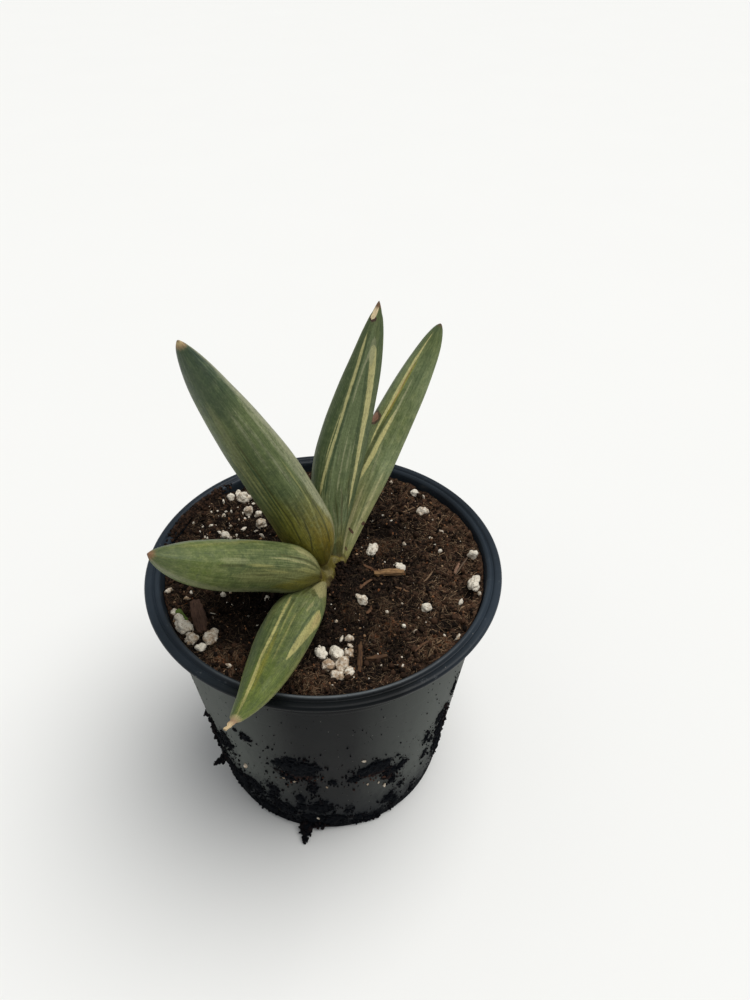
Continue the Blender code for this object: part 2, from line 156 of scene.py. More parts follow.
# Leaf markings. Angles go round a leaf's cross-section in degrees: 0 is the edge across
# from its channel on one side, 90 the middle of the channel, and "middle" is the side
# that the markings are set out from. Tones are (place along the leaf, colour). A band is
# its colour, strength, softness in degrees, and course: (place along, angle, half width).
# Crossbands are where they start and end along the leaf, and their strength. "streak" is the
# strength of the fine streaks, "mottle" that of the patches, "clouds" the colour of the pale
# patches, and "light" a factor each for red, green and blue. A spine is where the dry tip
# starts, its width against the whole tip's, and the half width that a shrivelled tip keeps
# to its end. A tip is where its dry colour starts, that colour, and one mixed in with it.
LEAF_LOOKS = {
    "leaf_left_low": dict(
        middle=175,
        tones=((0, "olive"), (0.1, "pale_green"), (0.35, "leaf_green"), (0.6, "leaf_green"),
               (0.8, "fresh_green"), (0.95, "leaf_green")),
        bands=(
            ("pale_green", 0.6, 14, ((0.05, 206, 20), (0.3, 208, 22), (0.55, 205, 18), (0.68, 205, 0))),
            ("sage", 0.45, 14, ((0.1, 250, 10), (0.5, 252, 14), (0.8, 250, 14))),
            ("deep_green", 0.25, 20, ((0.68, 165, 0), (0.75, 165, 30), (0.88, 165, 40), (0.97, 165, 50))),
            ("deep_green", 0.6, 10, ((0, 100, 20), (0.3, 112, 10), (0.6, 100, 10), (0.95, 90, 16))),
            ("yellow_green", 0.5, 9, ((0.4, 121, 0), (0.46, 122, 5), (0.56, 125, 5), (0.64, 128, 0))),
            ("pale_olive", 0.55, 11, ((0.52, 129, 0), (0.6, 129, 4), (0.8, 130, 4), (0.86, 128, 6),
                (0.92, 124, 0))),
            ("whitish", 0.5, 7, ((0.08, 162, 0), (0.12, 156, 6), (0.18, 145, 11), (0.24, 140, 11),
                (0.29, 134, 0))),
            ("whitish", 0.45, 2, ((0.1, 174, 0), (0.14, 173, 2), (0.26, 170, 2.2), (0.38, 166, 1.8),
                (0.46, 166, 0))),
            ("pale_olive", 0.6, 5, ((0.08, 186, 0), (0.14, 186, 7), (0.24, 185, 5), (0.32, 190, 0))),
            ("pale_olive", 0.6, 3, ((0.28, 196, 0), (0.34, 195, 2.6), (0.42, 193, 2.4), (0.5, 190, 0))),
            ("pale_olive", 0.65, 3, ((0.38, 184, 0), (0.43, 183, 3), (0.52, 182, 3.4), (0.6, 180, 0))),
            ("grey_cream", 0.4, 7, ((0.54, 172, 0), (0.58, 172, 6), (0.68, 172, 7), (0.74, 172, 0))),
            ("dark_olive", 0.75, 3, ((0.05, 168, 0), (0.1, 166, 3.5), (0.24, 163, 3), (0.36, 158, 2),
                (0.42, 157, 0))),
            ("dark_olive", 0.45, 2, ((0.1, 178, 0), (0.14, 178, 1.8), (0.26, 177, 1.6), (0.34, 177, 0))),
            ("dark_olive", 0.55, 3, ((0.56, 182, 0), (0.6, 182, 3.5), (0.7, 184, 3), (0.75, 184, 0))),
            ("dark_olive", 0.5, 2, ((0.37, 201, 0), (0.42, 201, 2.6), (0.5, 202, 2), (0.55, 202, 0))),
            ("dark_olive", 0.45, 2, ((0.24, 208, 0), (0.28, 208, 3), (0.34, 206, 2), (0.38, 206, 0))),
            ("dark_olive", 0.4, 2, ((0.28, 216, 0), (0.33, 216, 1.8), (0.45, 215, 1.8), (0.5, 215, 0))),
            ("olive", 0.85, 14, ((0, 212, 30), (0.12, 214, 26), (0.28, 226, 16), (0.44, 238, 0))),
            # Painted shadow at the foot of the leaf.
            ("spine_brown", 0.6, 8, ((0, 176, 30), (0.05, 176, 22), (0.075, 176, 0))),
        ),
        crossbands=(0.62, 0.97, 0.16), streak=0.3, mottle=0.36, clouds="pale_green",
        light=(1.08, 1.04, 0.94), spine=(0.975, 0.85, 0), tip=(0.982, "rust", "tan"), tip_soft=0.01,
        seed=3),
    "leaf_left_upright": dict(
        middle=217,
        tones=((0, "yellow_base"), (0.14, "yellow_base"), (0.25, "olive"), (0.38, "leaf_green"),
               (0.7, "leaf_green"), (0.8, "deep_green"), (0.93, "blue_green")),
        bands=(
            ("sage", 0.9, 16, ((0.18, 150, 8), (0.28, 148, 20), (0.45, 146, 20), (0.75, 140, 18),
                (0.9, 132, 12))),
            ("pale_green", 0.45, 10, ((0.3, 256, 0), (0.45, 258, 16), (0.65, 252, 14), (0.78, 246, 8),
                (0.84, 246, 0))),
            ("deep_green", 0.6, 22, ((0.66, 222, 0), (0.78, 228, 24), (0.88, 236, 40), (0.97, 240, 60))),
            ("moss", 0.25, 12, ((0.32, 212, 0), (0.4, 212, 12), (0.62, 214, 13), (0.72, 215, 0))),
            ("yellow_green", 0.6, 18, ((0.08, 225, 20), (0.2, 238, 26), (0.32, 242, 18), (0.48, 242, 0))),
            ("dark_olive", 0.2, 12, ((0, 262, 18), (0.2, 272, 15), (0.34, 276, 12), (0.46, 282, 0))),
            ("sage", 0.65, 7, ((0.2, 160, 0), (0.28, 165, 6), (0.45, 171, 5), (0.6, 171, 4.5),
                (0.7, 168, 5), (0.78, 160, 0))),
            ("pale_olive", 0.65, 3, ((0.14, 199, 0), (0.19, 195, 2.2), (0.25, 190, 2.4), (0.3, 186, 2.2),
                (0.36, 184, 2.2), (0.46, 184, 1.8), (0.54, 184, 0))),
            ("sage", 0.5, 4, ((0.38, 195, 0), (0.42, 195, 2.6), (0.52, 195, 2), (0.72, 196, 2),
                (0.78, 196, 0))),
            ("sage", 0.4, 6, ((0.45, 215, 0), (0.55, 214, 3), (0.7, 210, 4), (0.8, 206, 0))),
            ("pale_olive", 0.55, 2, ((0.24, 247, 0), (0.3, 246, 1.8), (0.46, 246, 2), (0.56, 248, 0))),
            ("pale_olive", 0.45, 2, ((0.26, 254, 0), (0.32, 254, 1.8), (0.5, 257, 2.4), (0.6, 260, 0))),
            ("pale_olive", 0.45, 2, ((0.28, 264, 0), (0.34, 264, 1.8), (0.56, 270, 2.2), (0.66, 272, 0))),
            ("dark_olive", 0.75, 2.4, ((0.08, 184, 0), (0.14, 183, 2.6), (0.22, 178, 2.8), (0.36, 176, 2),
                (0.46, 178, 0))),
            ("dark_olive", 0.85, 1.8, ((0.1, 231, 0), (0.13, 227, 2), (0.18, 219, 2), (0.26, 213, 1.6),
                (0.36, 212, 0))),
            ("dark_olive", 0.7, 1.6, ((0.22, 225, 0), (0.26, 224, 1.4), (0.34, 222, 1.6), (0.4, 222, 0))),
            ("dark_olive", 0.85, 1.8, ((0.14, 243, 0), (0.19, 239, 2), (0.27, 236, 1.8), (0.4, 238, 1.8),
                (0.62, 237, 2), (0.72, 236, 0))),
            ("deep_green", 0.9, 1.8, ((0.26, 244, 0), (0.34, 243, 1.8), (0.5, 242, 2.4), (0.58, 243, 1.4),
                (0.64, 243, 0))),
            ("deep_green", 0.75, 1.8, ((0.2, 252, 0), (0.28, 251, 1.8), (0.44, 252, 1.8), (0.6, 254, 0))),
            ("deep_green", 0.7, 1.8, ((0.22, 260, 0), (0.3, 259, 1.8), (0.46, 262, 1.8), (0.6, 266, 0))),
            ("pale_olive", 0.55, 5, ((0, 178, 6), (0.06, 178, 7), (0.12, 182, 0))),
        ),
        crossbands=(0.62, 0.95, 0.12), streak=0.24, mottle=0.4, clouds="grey_green",
        light=(1.02, 1.01, 0.95), spine=(0.97, 0.94, 0), tip=(0.98, "tan", "cream"), tip_soft=0.004,
        seed=11),
    "leaf_front": dict(
        middle=105,
        tones=((0, "pale_green"), (0.12, "pale_green"), (0.26, "grey_green"), (0.6, "leaf_green"),
               (0.72, "fresh_green"), (0.93, "fresh_green")),
        bands=(
            ("deep_green", 0.65, 9, ((0.1, 34, 20), (0.5, 44, 20), (0.72, 48, 18), (0.95, 40, 20))),
            ("pale_green", 0.7, 12, ((0.42, 185, 0), (0.55, 182, 14), (0.9, 190, 18))),
            ("pale_green", 0.35, 9, ((0.22, 50, 0), (0.28, 46, 15), (0.36, 46, 14), (0.42, 47, 9),
                (0.47, 48, 3), (0.5, 49, 0))),
            ("moss", 0.6, 8, ((0.62, 150, 0), (0.68, 152, 9), (0.74, 148, 9), (0.8, 146, 0))),
            ("moss", 0.6, 8, ((0.62, 100, 0), (0.66, 108, 8), (0.72, 110, 7), (0.76, 112, 0))),
            ("moss", 0.75, 12, ((0.8, 134, 0), (0.84, 134, 22), (0.88, 130, 20), (0.92, 128, 0))),
            ("grey_green", 0.45, 9, ((0.7, 120, 0), (0.74, 122, 8), (0.78, 124, 10), (0.82, 126, 0))),
            ("yellow_green", 0.55, 7, ((0.44, 83, 0), (0.5, 83, 4), (0.6, 83, 6), (0.7, 85, 7),
                (0.78, 88, 5), (0.84, 90, 0))),
            ("dark_olive", 0.6, 2, ((0.22, 80, 0), (0.28, 82, 2.4), (0.4, 83, 2), (0.48, 83, 0))),
            ("cream", 0.76, 2.6, ((0.22, 66, 0), (0.26, 69.5, 2.4), (0.3, 73, 3.2), (0.4, 75.5, 3),
                (0.5, 75, 3.2), (0.6, 72, 3.8), (0.65, 71, 4), (0.7, 73, 5.2), (0.76, 75.5, 6.5),
                (0.81, 76.5, 6.4), (0.85, 79, 5), (0.88, 82, 0))),
            ("pale_olive", 0.8, 4, ((0.8, 78, 0), (0.85, 80, 9), (0.9, 87, 8), (0.93, 97, 6),
                (0.95, 110, 0))),
            ("yellow_green", 0.45, 4, ((0.6, 80, 0), (0.66, 80, 4), (0.74, 78, 4), (0.84, 74, 0))),
            ("pale_olive", 0.5, 1.8, ((0.34, 102, 0), (0.38, 102, 2.6), (0.52, 102, 2.4), (0.62, 102, 2),
                (0.67, 102, 0))),
            ("pale_olive", 0.55, 1.8, ((0.26, 86, 0), (0.31, 87, 1.8), (0.46, 89, 1.8), (0.55, 91, 0))),
            ("deep_green", 0.7, 3, ((0.26, 150, 0), (0.33, 139, 3), (0.42, 131, 3), (0.55, 128, 3),
                (0.64, 131, 0))),
            ("cream", 0.76, 4, ((0.27, 156, 0), (0.3, 160, 13), (0.35, 161, 18), (0.4, 155, 15),
                (0.45, 148, 12), (0.5, 143, 11), (0.55, 139, 8.4), (0.59, 136.5, 5.6),
                (0.615, 134.5, 2.6), (0.63, 134, 0))),
            ("tan", 0.28, 8, ((0.28, 160, 0), (0.32, 162, 12), (0.38, 158, 8), (0.44, 156, 0))),
            ("whitish", 0.8, 12, ((0, 130, 60), (0.08, 132, 50), (0.14, 134, 36), (0.22, 142, 0))),
            ("whitish", 0.5, 3, ((0.24, 128, 0), (0.28, 128, 5), (0.32, 124, 3), (0.36, 124, 0))),
            ("grey_cream", 0.5, 3, ((0.24, 111, 0), (0.27, 111, 4), (0.3, 108, 3), (0.34, 108, 0))),
            ("dark_olive", 0.6, 3, ((0.14, 108, 0), (0.17, 112, 8), (0.2, 118, 8), (0.23, 124, 0))),
            # Painted shadow: a dark line between this leaf and the low leaf.
            ("dark_olive", 0.6, 3, ((0.02, 92, 8), (0.1, 94, 6), (0.2, 88, 4), (0.26, 84, 0))),
        ),
        crossbands=(0.3, 0.9, 0.08), streak=0.26, mottle=0.5, clouds="fresh_green",
        light=(0.96, 0.91, 0.79), spine=(0.925, 0.6, 0.55), tip=(0.935, "tan", "bone"), tip_soft=0.012,
        seed=23),
    "leaf_back_middle": dict(
        middle=90,
        tones=((0, "dark_olive"), (0.06, "olive"), (0.16, "grey_green"), (0.28, "leaf_green"),
               (0.7, "leaf_green"), (1, "leaf_green")),
        bands=(
            ("grey_green", 0.8, 10, ((0.14, 82, 14), (0.3, 80, 22), (0.6, 82, 20), (0.85, 92, 16),
                (0.93, 92, 5))),
            ("deep_green", 0.6, 5, ((0.1, 150, 22), (0.3, 146, 24), (0.6, 142, 24), (0.85, 146, 22),
                (0.98, 150, 10))),
            ("deep_green", 0.5, 5, ((0.1, 2, 14), (0.5, 10, 18), (0.7, 16, 20), (0.85, 24, 20),
                (0.95, 30, 30))),
            ("deep_green", 0.6, 3, ((0.3, 54, 0), (0.45, 56, 4), (0.58, 62, 4), (0.7, 72, 5),
                (0.78, 84, 4), (0.82, 94, 0))),
            ("deep_green", 0.85, 2, ((0.2, 112, 0), (0.28, 108, 3), (0.48, 102, 3), (0.66, 102, 3),
                (0.84, 108, 3), (0.9, 112, 0))),
            ("cream", 0.95, 1.4, ((0.19, 28, 0), (0.25, 32, 4.5), (0.3, 37, 5), (0.4, 41, 5),
                (0.5, 43, 7), (0.6, 45.5, 9.5), (0.65, 48, 11), (0.7, 52, 12), (0.75, 58, 13),
                (0.79, 63, 14.5), (0.82, 69, 16), (0.838, 71, 14), (0.85, 72, 0))),
            ("grey_cream", 0.55, 6, ((0.76, 66, 0), (0.8, 72, 14), (0.835, 74, 16), (0.865, 76, 12),
                (0.88, 76, 0))),
            ("grey_cream", 0.85, 1.6, ((0.61, 93, 0), (0.64, 93, 2.4), (0.7, 94, 2.6), (0.76, 92, 3),
                (0.81, 86, 5), (0.84, 84, 0))),
            ("cream", 0.88, 1.4, ((0.24, 127, 0), (0.28, 122, 4), (0.35, 115.5, 3.6), (0.42, 112, 3.4),
                (0.5, 109, 3), (0.58, 110, 3.4), (0.66, 112.5, 4.4), (0.75, 115, 5.6), (0.81, 119.5, 6.4),
                (0.86, 123, 5), (0.89, 125, 0))),
            ("cream", 0.7, 1.2, ((0.38, 121, 0), (0.42, 119.5, 1.4), (0.5, 117.5, 1.4), (0.56, 116, 1.2),
                (0.6, 114, 0))),
            ("grey_cream", 0.75, 1.8, ((0.24, 78, 0), (0.3, 80, 2.4), (0.36, 80, 2), (0.46, 81, 1.8),
                (0.54, 82, 0))),
            ("grey_cream", 0.6, 2, ((0.34, 66, 0), (0.38, 67, 2.4), (0.46, 68, 1.6), (0.5, 70, 0))),
            ("grey_cream", 0.5, 2, ((0.4, 60, 0), (0.45, 60, 2), (0.54, 61, 0))),
            ("grey_cream", 0.5, 2, ((0.36, 89, 0), (0.41, 90, 2), (0.47, 90, 0))),
            ("grey_cream", 0.55, 3, ((0.1, 42, 0), (0.16, 50, 3), (0.22, 60, 3), (0.28, 68, 3),
                (0.32, 74, 0))),
            ("dark_olive", 0.7, 3, ((0.06, 34, 0), (0.1, 42, 4), (0.18, 54, 4), (0.25, 62, 3),
                (0.3, 68, 0))),
            ("dark_olive", 0.6, 3, ((0.1, 56, 0), (0.16, 66, 3), (0.22, 76, 3), (0.28, 86, 0))),
            ("dark_olive", 0.6, 3, ((0.12, 14, 0), (0.18, 26, 4), (0.25, 42, 3), (0.32, 52, 3),
                (0.4, 58, 0))),
            ("grey_cream", 0.5, 3, ((0.08, 64, 0), (0.14, 72, 3), (0.2, 84, 3), (0.24, 90, 0))),
            ("dark_olive", 0.7, 8, ((0, 60, 60), (0.05, 60, 50), (0.08, 50, 0))),
            ("spine_brown", 1, 2, ((0.924, 118, 0), (0.929, 120, 30), (0.942, 124, 40), (0.95, 124, 0))),
            ("bone", 1, 3, ((0.932, 128, 0), (0.938, 128, 24), (0.965, 126, 44), (0.985, 126, 60),
                (1, 122, 70))),
        ),
        crossbands=(0.2, 0.95, 0.1), streak=0.34, mottle=0.34, clouds="pale_green",
        light=(1.24, 1.21, 1.24), spine=(0.94, 0.9, 0), tip=(0.976, "spine_brown", "tan"), tip_soft=0.006,
        seed=31),
    "leaf_back_right": dict(
        middle=90,
        tones=((0, "olive"), (0.08, "pale_green"), (0.24, "pale_green"), (0.42, "grey_green"),
               (0.6, "leaf_green"), (0.8, "grey_green"), (0.94, "leaf_green"), (1, "deep_green")),
        bands=(
            ("deep_green", 0.5, 10, ((0.2, 158, 14), (0.6, 156, 16), (0.95, 158, 22))),
            ("deep_green", 0.45, 6, ((0.66, 66, 0), (0.76, 66, 10), (0.88, 66, 14), (0.95, 66, 0))),
            ("deep_green", 0.5, 4, ((0.12, 40, 0), (0.18, 48, 5), (0.26, 54, 4), (0.36, 57, 5),
                (0.46, 60, 0))),
            ("whitish", 0.5, 6, ((0.06, 40, 0), (0.12, 40, 8), (0.26, 38, 6), (0.36, 38, 4),
                (0.44, 34, 0))),
            ("whitish", 0.5, 5, ((0.02, 92, 8), (0.12, 90, 9), (0.2, 82, 9), (0.28, 80, 5),
                (0.34, 78, 0))),
            ("grey_cream", 0.5, 3, ((0.34, 72, 0), (0.38, 73, 3), (0.46, 76, 2.6), (0.52, 78, 0))),
            ("dark_olive", 0.6, 3, ((0.3, 106, 6), (0.5, 102, 5), (0.62, 99, 4), (0.7, 98, 2),
                (0.76, 97, 0))),
            ("cream", 0.9, 2, ((0.3, 102, 0), (0.34, 99, 4), (0.38, 95, 6.5), (0.44, 90.5, 7),
                (0.52, 89, 6.8), (0.58, 87.5, 5.6), (0.62, 86, 4), (0.66, 85, 0))),
            ("grey_cream", 0.7, 2, ((0.56, 86, 0), (0.62, 85, 4), (0.72, 85, 3), (0.76, 86, 2),
                (0.79, 86, 0))),
            ("yellow_green", 0.75, 4, ((0.55, 104, 0), (0.62, 104, 4), (0.72, 103, 4), (0.82, 104, 3.4),
                (0.88, 106, 0))),
            ("cream", 0.85, 2, ((0.44, 107, 0), (0.5, 110, 2.4), (0.58, 111.5, 4), (0.66, 110.5, 5),
                (0.71, 112, 7.5), (0.76, 113.5, 6), (0.84, 115, 6.4), (0.9, 114, 5), (0.95, 113, 3),
                (0.975, 113, 0))),
            ("rust", 0.55, 1.6, ((0.6, 106, 0), (0.64, 105.5, 1.4), (0.72, 106.5, 1.6), (0.8, 109, 2),
                (0.86, 110, 0))),
            ("pale_olive", 0.5, 3, ((0.56, 120, 0), (0.62, 121, 3), (0.68, 122, 0))),
            ("spine_brown", 0.9, 1.6, ((0.538, 150, 0), (0.545, 140, 14), (0.57, 140, 24),
                (0.592, 142, 24), (0.6, 142, 0))),
            ("scar_brown", 1, 1.6, ((0.547, 146, 0), (0.554, 142, 10), (0.57, 141, 17), (0.584, 142, 15),
                (0.592, 142, 0))),
            ("spine_brown", 1, 3, ((0.112, 52, 0), (0.118, 58, 12), (0.13, 76, 12), (0.137, 84, 0))),
            ("spine_brown", 1, 2, ((0.155, 10, 0), (0.16, 12, 16), (0.17, 14, 12), (0.176, 14, 0))),
            ("spine_brown", 0.8, 3, ((0.042, 60, 0), (0.048, 62, 14), (0.056, 74, 12), (0.062, 78, 0))),
            ("dark_olive", 0.7, 8, ((0, 90, 70), (0.02, 90, 50), (0.035, 90, 0))),
        ),
        crossbands=(0.3, 0.9, 0.1), streak=0.3, mottle=0.3, clouds="pale_green", light=(1.64, 1.56, 1.58),
        spine=(0.98, 0.95, 0), tip=(0.992, "deep_green", "scar_brown"), tip_soft=0.008, seed=47),
}

# Crown, as in the CAD: stem, then an arm to each leaf's base, each with its radius
CROWN_STEM = ((0.6, -1.4, 74.0), (0.0, -3.2, 89.4), 3.6)
CROWN_ARMS = (
    ((0.2, -2.6, 83.0), (-4.2, -7.2, 91.0), 2.7),
    ((0.3, -1.6, 83.0), (-1.2, 0.2, 93.0), 3.0),
    ((0.2, -2.6, 81.5), (-1.8, -8.6, 87.2), 2.8),
    ((0.8, -1.6, 82.0), (3.3, 2.8, 90.0), 2.4),
    ((0.8, -1.6, 80.0), (5.9, 3.2, 88.6), 2.2),
)
CROWN_SIDES = 32
CROWN_VOXEL = 0.35
CROWN_SOFTENING = 12    # rounds of smoothing where the arms meet
ARM_TAPER = ((0.0, 1.1), (0.45, 1.05), (0.8, 0.95), (0.94, 0.7))

# Crumbs heaped against the crown: x, y, reach, height, number
CROWN_HEAPS = ((5.6, -1.2, 3.4, 2.6, 170), (4.4, -5, 3, 2, 120), (7.8, 2.4, 2.4, 1.6, 70),
               (0.5, -8.8, 2.6, 1, 50))

# Bark chips, as in the CAD: centre, and turn in degrees
BARK_CHIPS = {
    "bark_chip_left": ((-38.1, -16.2), 106.0),
    "bark_stick_front": ((8.8, -34.0), 85.0),
    "bark_stick_short": ((13.3, -37.0), 9.0),
    "bark_chip_right": ((19.8, -4.2), 2.0),
}
PERLITE_NODES = sorted(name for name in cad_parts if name.startswith("perlite"))
# How far some grains are longer one way than the other: direction in degrees, factor
GRAIN_STRETCH = {
    "perlite_03": (100, 1.35), "perlite_04": (115, 1.45), "perlite_05": (95, 1.2), "perlite_07": (20, 1.2),
    "perlite_08": (50, 1.4), "perlite_10": (110, 1.3), "perlite_11": (120, 1.3), "perlite_12": (95, 1.2),
    "perlite_14": (75, 1.35), "perlite_17": (30, 1.3), "perlite_22": (65, 1.6), "perlite_26": (90, 1.25),
    "perlite_27": (80, 1.4), "perlite_28": (130, 1.35),
}
GRAIN_SCALE = 1.12
GRAIN_FOOT = 2.6        # how far a grain reaches down from its middle at most
# Small loose perlite: x, y and size
SMALL_PERLITE = ((-35.5, 35.9, 0.75), (-33.9, 31.8, 0.85), (-24, 32.1, 0.6), (-22.5, 17.7, 0.65),
                 (-20.4, 15.6, 0.8), (-26.5, 19.5, 0.8), (-29.3, 42.4, 0.5), (-37.6, 22.3, 0.6),
                 (-39.1, 16.5, 0.7), (-43.1, 21.5, 0.5), (-31, 23.7, 0.45), (-37.4, 33.8, 0.35),
                 (-34.3, 18.4, 0.8), (35.3, 31, 0.9), (25.2, -28.1, 0.8), (22, -26.8, 0.6),
                 (37.1, 4.1, 0.9), (35.6, 7.4, 0.6), (34.7, 10.9, 0.5), (38.7, 12.8, 0.6),
                 (25.9, 8.9, 0.6), (36.7, -32.1, 0.9), (33.2, -30.8, 0.6), (40.1, -18.2, 0.8),
                 (22.6, -16.7, 0.6), (20.1, -40.7, 0.4), (22.7, 19.4, 0.4), (16.5, 21.1, 0.4),
                 (24.7, 40.4, 0.6), (46, -15.9, 0.9), (6.2, -31.6, 0.75), (4.8, -32.3, 0.45),
                 (3.8, -28.7, 0.9), (-2.6, -31.5, 0.5), (2.6, -21.8, 0.6), (14.2, -39.4, 0.35),
                 (20.3, -37.1, 0.3), (13.7, -35.5, 0.35), (10.7, -34.9, 0.4), (17.6, -21.1, 0.6),
                 (-33.9, -15.6, 0.8), (-31.5, -8, 0.9), (-29.1, -7.8, 0.6), (-28, -36.1, 0.8),
                 (-23.4, -40.1, 0.5), (-42.2, -9.1, 0.8), (-41.2, -7.1, 0.6), (-47.6, -7.5, 1),
                 (-23.7, -15.6, 0.35), (-20.9, -19.5, 0.4), (-18.1, -10.4, 0.8))
# Specks of it: centre and reach of each lot, number and size
PERLITE_SPECKS = ((0, 0, 46, 60, 0.36), (0, 0, 47, 130, 0.22), (-31, 28, 14, 50, 0.38),
                  (-36, 8, 9, 16, 0.4), (-29, 20, 9, 16, 0.66))
# Loose slivers of wood and leaf: ends, width, colour
SLIVERS = (((40.1, -7), (48.4, 4.1), 0.6, (100, 82, 66)), ((40.5, -5.3), (42.6, -1), 1.2, (140, 108, 88)),
           ((11.5, -20.2), (13.7, -17.8), 1.3, (104, 74, 52)),
           ((14.5, -6), (10.2, -10.5), 1.1, (106, 76, 54)), ((12, 0.5), (16.5, -3), 1.2, (96, 66, 44)),
           ((-44.6, -14.6), (-41.2, -19.2), 1.9, (92, 116, 48)),
           ((27, 24), (33, 27.5), 0.6, (120, 96, 72)), ((21, -10.5), (25, -13), 0.7, (112, 84, 60)),
           ((-13, 33), (-7.5, 38), 0.8, (104, 78, 56)), ((3.5, 38), (9.5, 35), 0.7, (118, 92, 66)),
           ((30, -9), (33.5, -4.5), 0.6, (122, 98, 74)), ((24, -36), (28.5, -33), 0.7, (96, 68, 48)))

# Soil stuck on the outside of the pot: angle, height, half width, half height, strength
WALL_SMEARS = ((-104, 45.5, 6.2, 6, 1.5), (-108, 39, 3.6, 3.4, 0.9), (-99, 33, 1.6, 5.5, 0.8),
               (-73.5, 41.5, 5.4, 4.6, 1.4), (-66, 35, 3.6, 4.5, 0.9), (-64, 28, 2.4, 3.6, 0.7),
               (-82, 37.5, 2.4, 2.2, 0.8), (-90.5, 37, 1.6, 2, 0.7), (-60, 36, 2, 3.4, 0.7),
               (-123.5, 56, 2, 2.4, 0.95), (-128, 57.5, 0.9, 1, 0.8), (-138, 41.5, 3, 6, 0.85),
               (-145, 36, 3, 5.6, 0.85), (-117, 25, 2.4, 5, 0.9), (-119, 17, 2.2, 4, 0.8),
               (-105, 23, 1.8, 3.6, 0.85), (-105, 17, 1.6, 3, 0.8), (-96, 17.5, 4, 4.4, 1),
               (-113, 11.5, 4.2, 4.6, 1), (-101, 8, 4, 4, 0.9), (-128, 19, 3.4, 5.4, 0.9),
               (-137, 16, 5, 7, 1), (-146, 14, 6, 10, 1), (-155, 18, 6, 12, 1), (-123, 7, 5, 4.5, 0.95),
               (-90, 6.5, 5, 4.5, 0.9), (-84, 14, 2, 4, 0.6), (-79, 6, 3, 4.5, 0.7),
               (-74, 2.5, 4, 3, 0.8), (-64, 13, 2.6, 4, 0.9), (-61, 7, 2.2, 4, 0.7),
               (-59, 20, 1.6, 3, 0.6), (-50, 10, 1.6, 4, 0.6), (-46, 29, 1.8, 3.2, 0.7),
               (-48, 42, 1.8, 3.4, 0.8), (-44, 36, 1.6, 3, 0.6), (-40.5, 47, 2.4, 4.4, 0.9),
               (-37.5, 38, 2.6, 6, 0.9), (-36, 26, 2.4, 6, 0.9), (-34, 58, 1.4, 4, 0.8),
               (-30, 18, 3, 7, 0.8), (-12, 14, 6, 5, 0.8), (8, 30, 4, 5, 0.8), (24, 9, 7, 5, 0.9),
               (47, 38, 5, 4.4, 0.8), (62, 12, 7, 5, 0.9), (84, 44, 3, 3.4, 0.7), (98, 8, 8, 5, 0.9),
               (118, 27, 5, 5.4, 0.8), (140, 10, 7, 5, 0.9), (158, 40, 3.4, 4, 0.8), (176, 18, 6, 7, 0.9))
# Lumps of soil on the wall: angle, height, size
WALL_LUMPS = ((-147, 47, 0.8), (-149, 42, 1.2), (-150, 37, 1.4), (-152, 33, 1.2), (-153, 29, 1.5),
              (-154, 25, 1.2), (-150, 20, 1.1), (-38, 52, 0.8), (-36, 47, 1), (-35, 42, 0.9),
              (-34.5, 37, 1.1), (-34, 31, 0.8), (-97, 2.6, 1.5), (-99.5, 2, 1.2), (-70, 2, 0.9))
# Clods that stand out from the wall and foot: angle, height and reach outwards at each end
WALL_SPURS = (((-151, 17.2, 0.2), (-153, 13.4, 5.2), 1.7), ((-104, 2.6, 0.2), (-103.5, 0.7, 6.4), 2.5),
              ((-146, 44, 0.1), (-147, 42, 1.5), 0.9), ((-156, 40, 0.1), (-158, 37, 1.6), 1))
CRUST_CELL = 0.42       # size of a cell of the stuck soil's grid
CRUST_REACH = 2.0       # how far that grid goes, against a smear's half width and height
LUMP_CRUMBS = 14        # crumbs in a lump
SPUR_CRUMBS = 90        # crumbs in a clod of thickness 1
# Pale grains on the wall: angle, height, size
WALL_GRAINS = ((-129.8, 32.5, 1), (-78.4, 49, 0.55), (-68.1, 26.5, 0.6), (-106, 36.6, 0.6),
               (-110.5, 37.4, 0.5), (-93, 34, 0.35), (-76, 31.5, 0.5), (-71, 30, 0.45), (-98, 9, 0.6),
               (66, 20, 0.7))

# Camera, at the photograph's place and angles
CAMERA_PLACE = (0.0, -168.66, 255.37)
CAMERA_YAW = 5.198
CAMERA_PITCH = 39.830
CAMERA_ROLL = 1.004
CAMERA_LENS = 27.0
CAMERA_SENSOR = 36.0
KEY_WAY = (0.36, 0.05, 1.0)     # towards the light
KEY_TINT = (1.0, 0.99, 0.97)
SKY_TINT = (0.96, 0.98, 1.0, 1.0)
# Floor, as a section from under its middle, round its far edge and back over it
FLOOR_SECTION = ((0, -20), (2608, -20), (2608, -3), (2600, 0), (1400, 0), (600, 0), (200, 0), (0, 0))
FLOOR_SIDES = 96


def screen(red, green, blue):
    """The linear colour of a screen colour."""
    shares = (red / 255, green / 255, blue / 255)
    return tuple(((c + 0.055) / 1.055) ** 2.4 if c > 0.04045 else c / 12.92 for c in shares)


# Colour of the painted highlight on the lip's crest.
LIP_HIGHLIGHT = screen(118, 124, 128)
WET_FILM = screen(14, 19, 24)
PALE_GRIT = screen(150, 148, 140)
SCUFF = screen(120, 124, 126)
FLECK_TAN = screen(110, 74, 40)
CLUMP_FIBRE = screen(124, 78, 50)
STEM_SHADE = screen(70, 66, 26)
STEM_FOOT = screen(60, 44, 28)
PIT_BROWN = screen(70, 50, 36)
GRAIN_SPOT = screen(120, 96, 74)
BARK_CRACK = screen(34, 22, 16)
OLD_BARK = screen(92, 68, 54)
PALE_WOOD = screen(112, 84, 56)
RED_WOOD = (screen(62, 42, 28), screen(100, 72, 46))
SLIVER_CRACK = screen(40, 28, 20)
SLIVER_STAIN = screen(56, 40, 30)
FLOOR_CLOUD = screen(226, 226, 224)


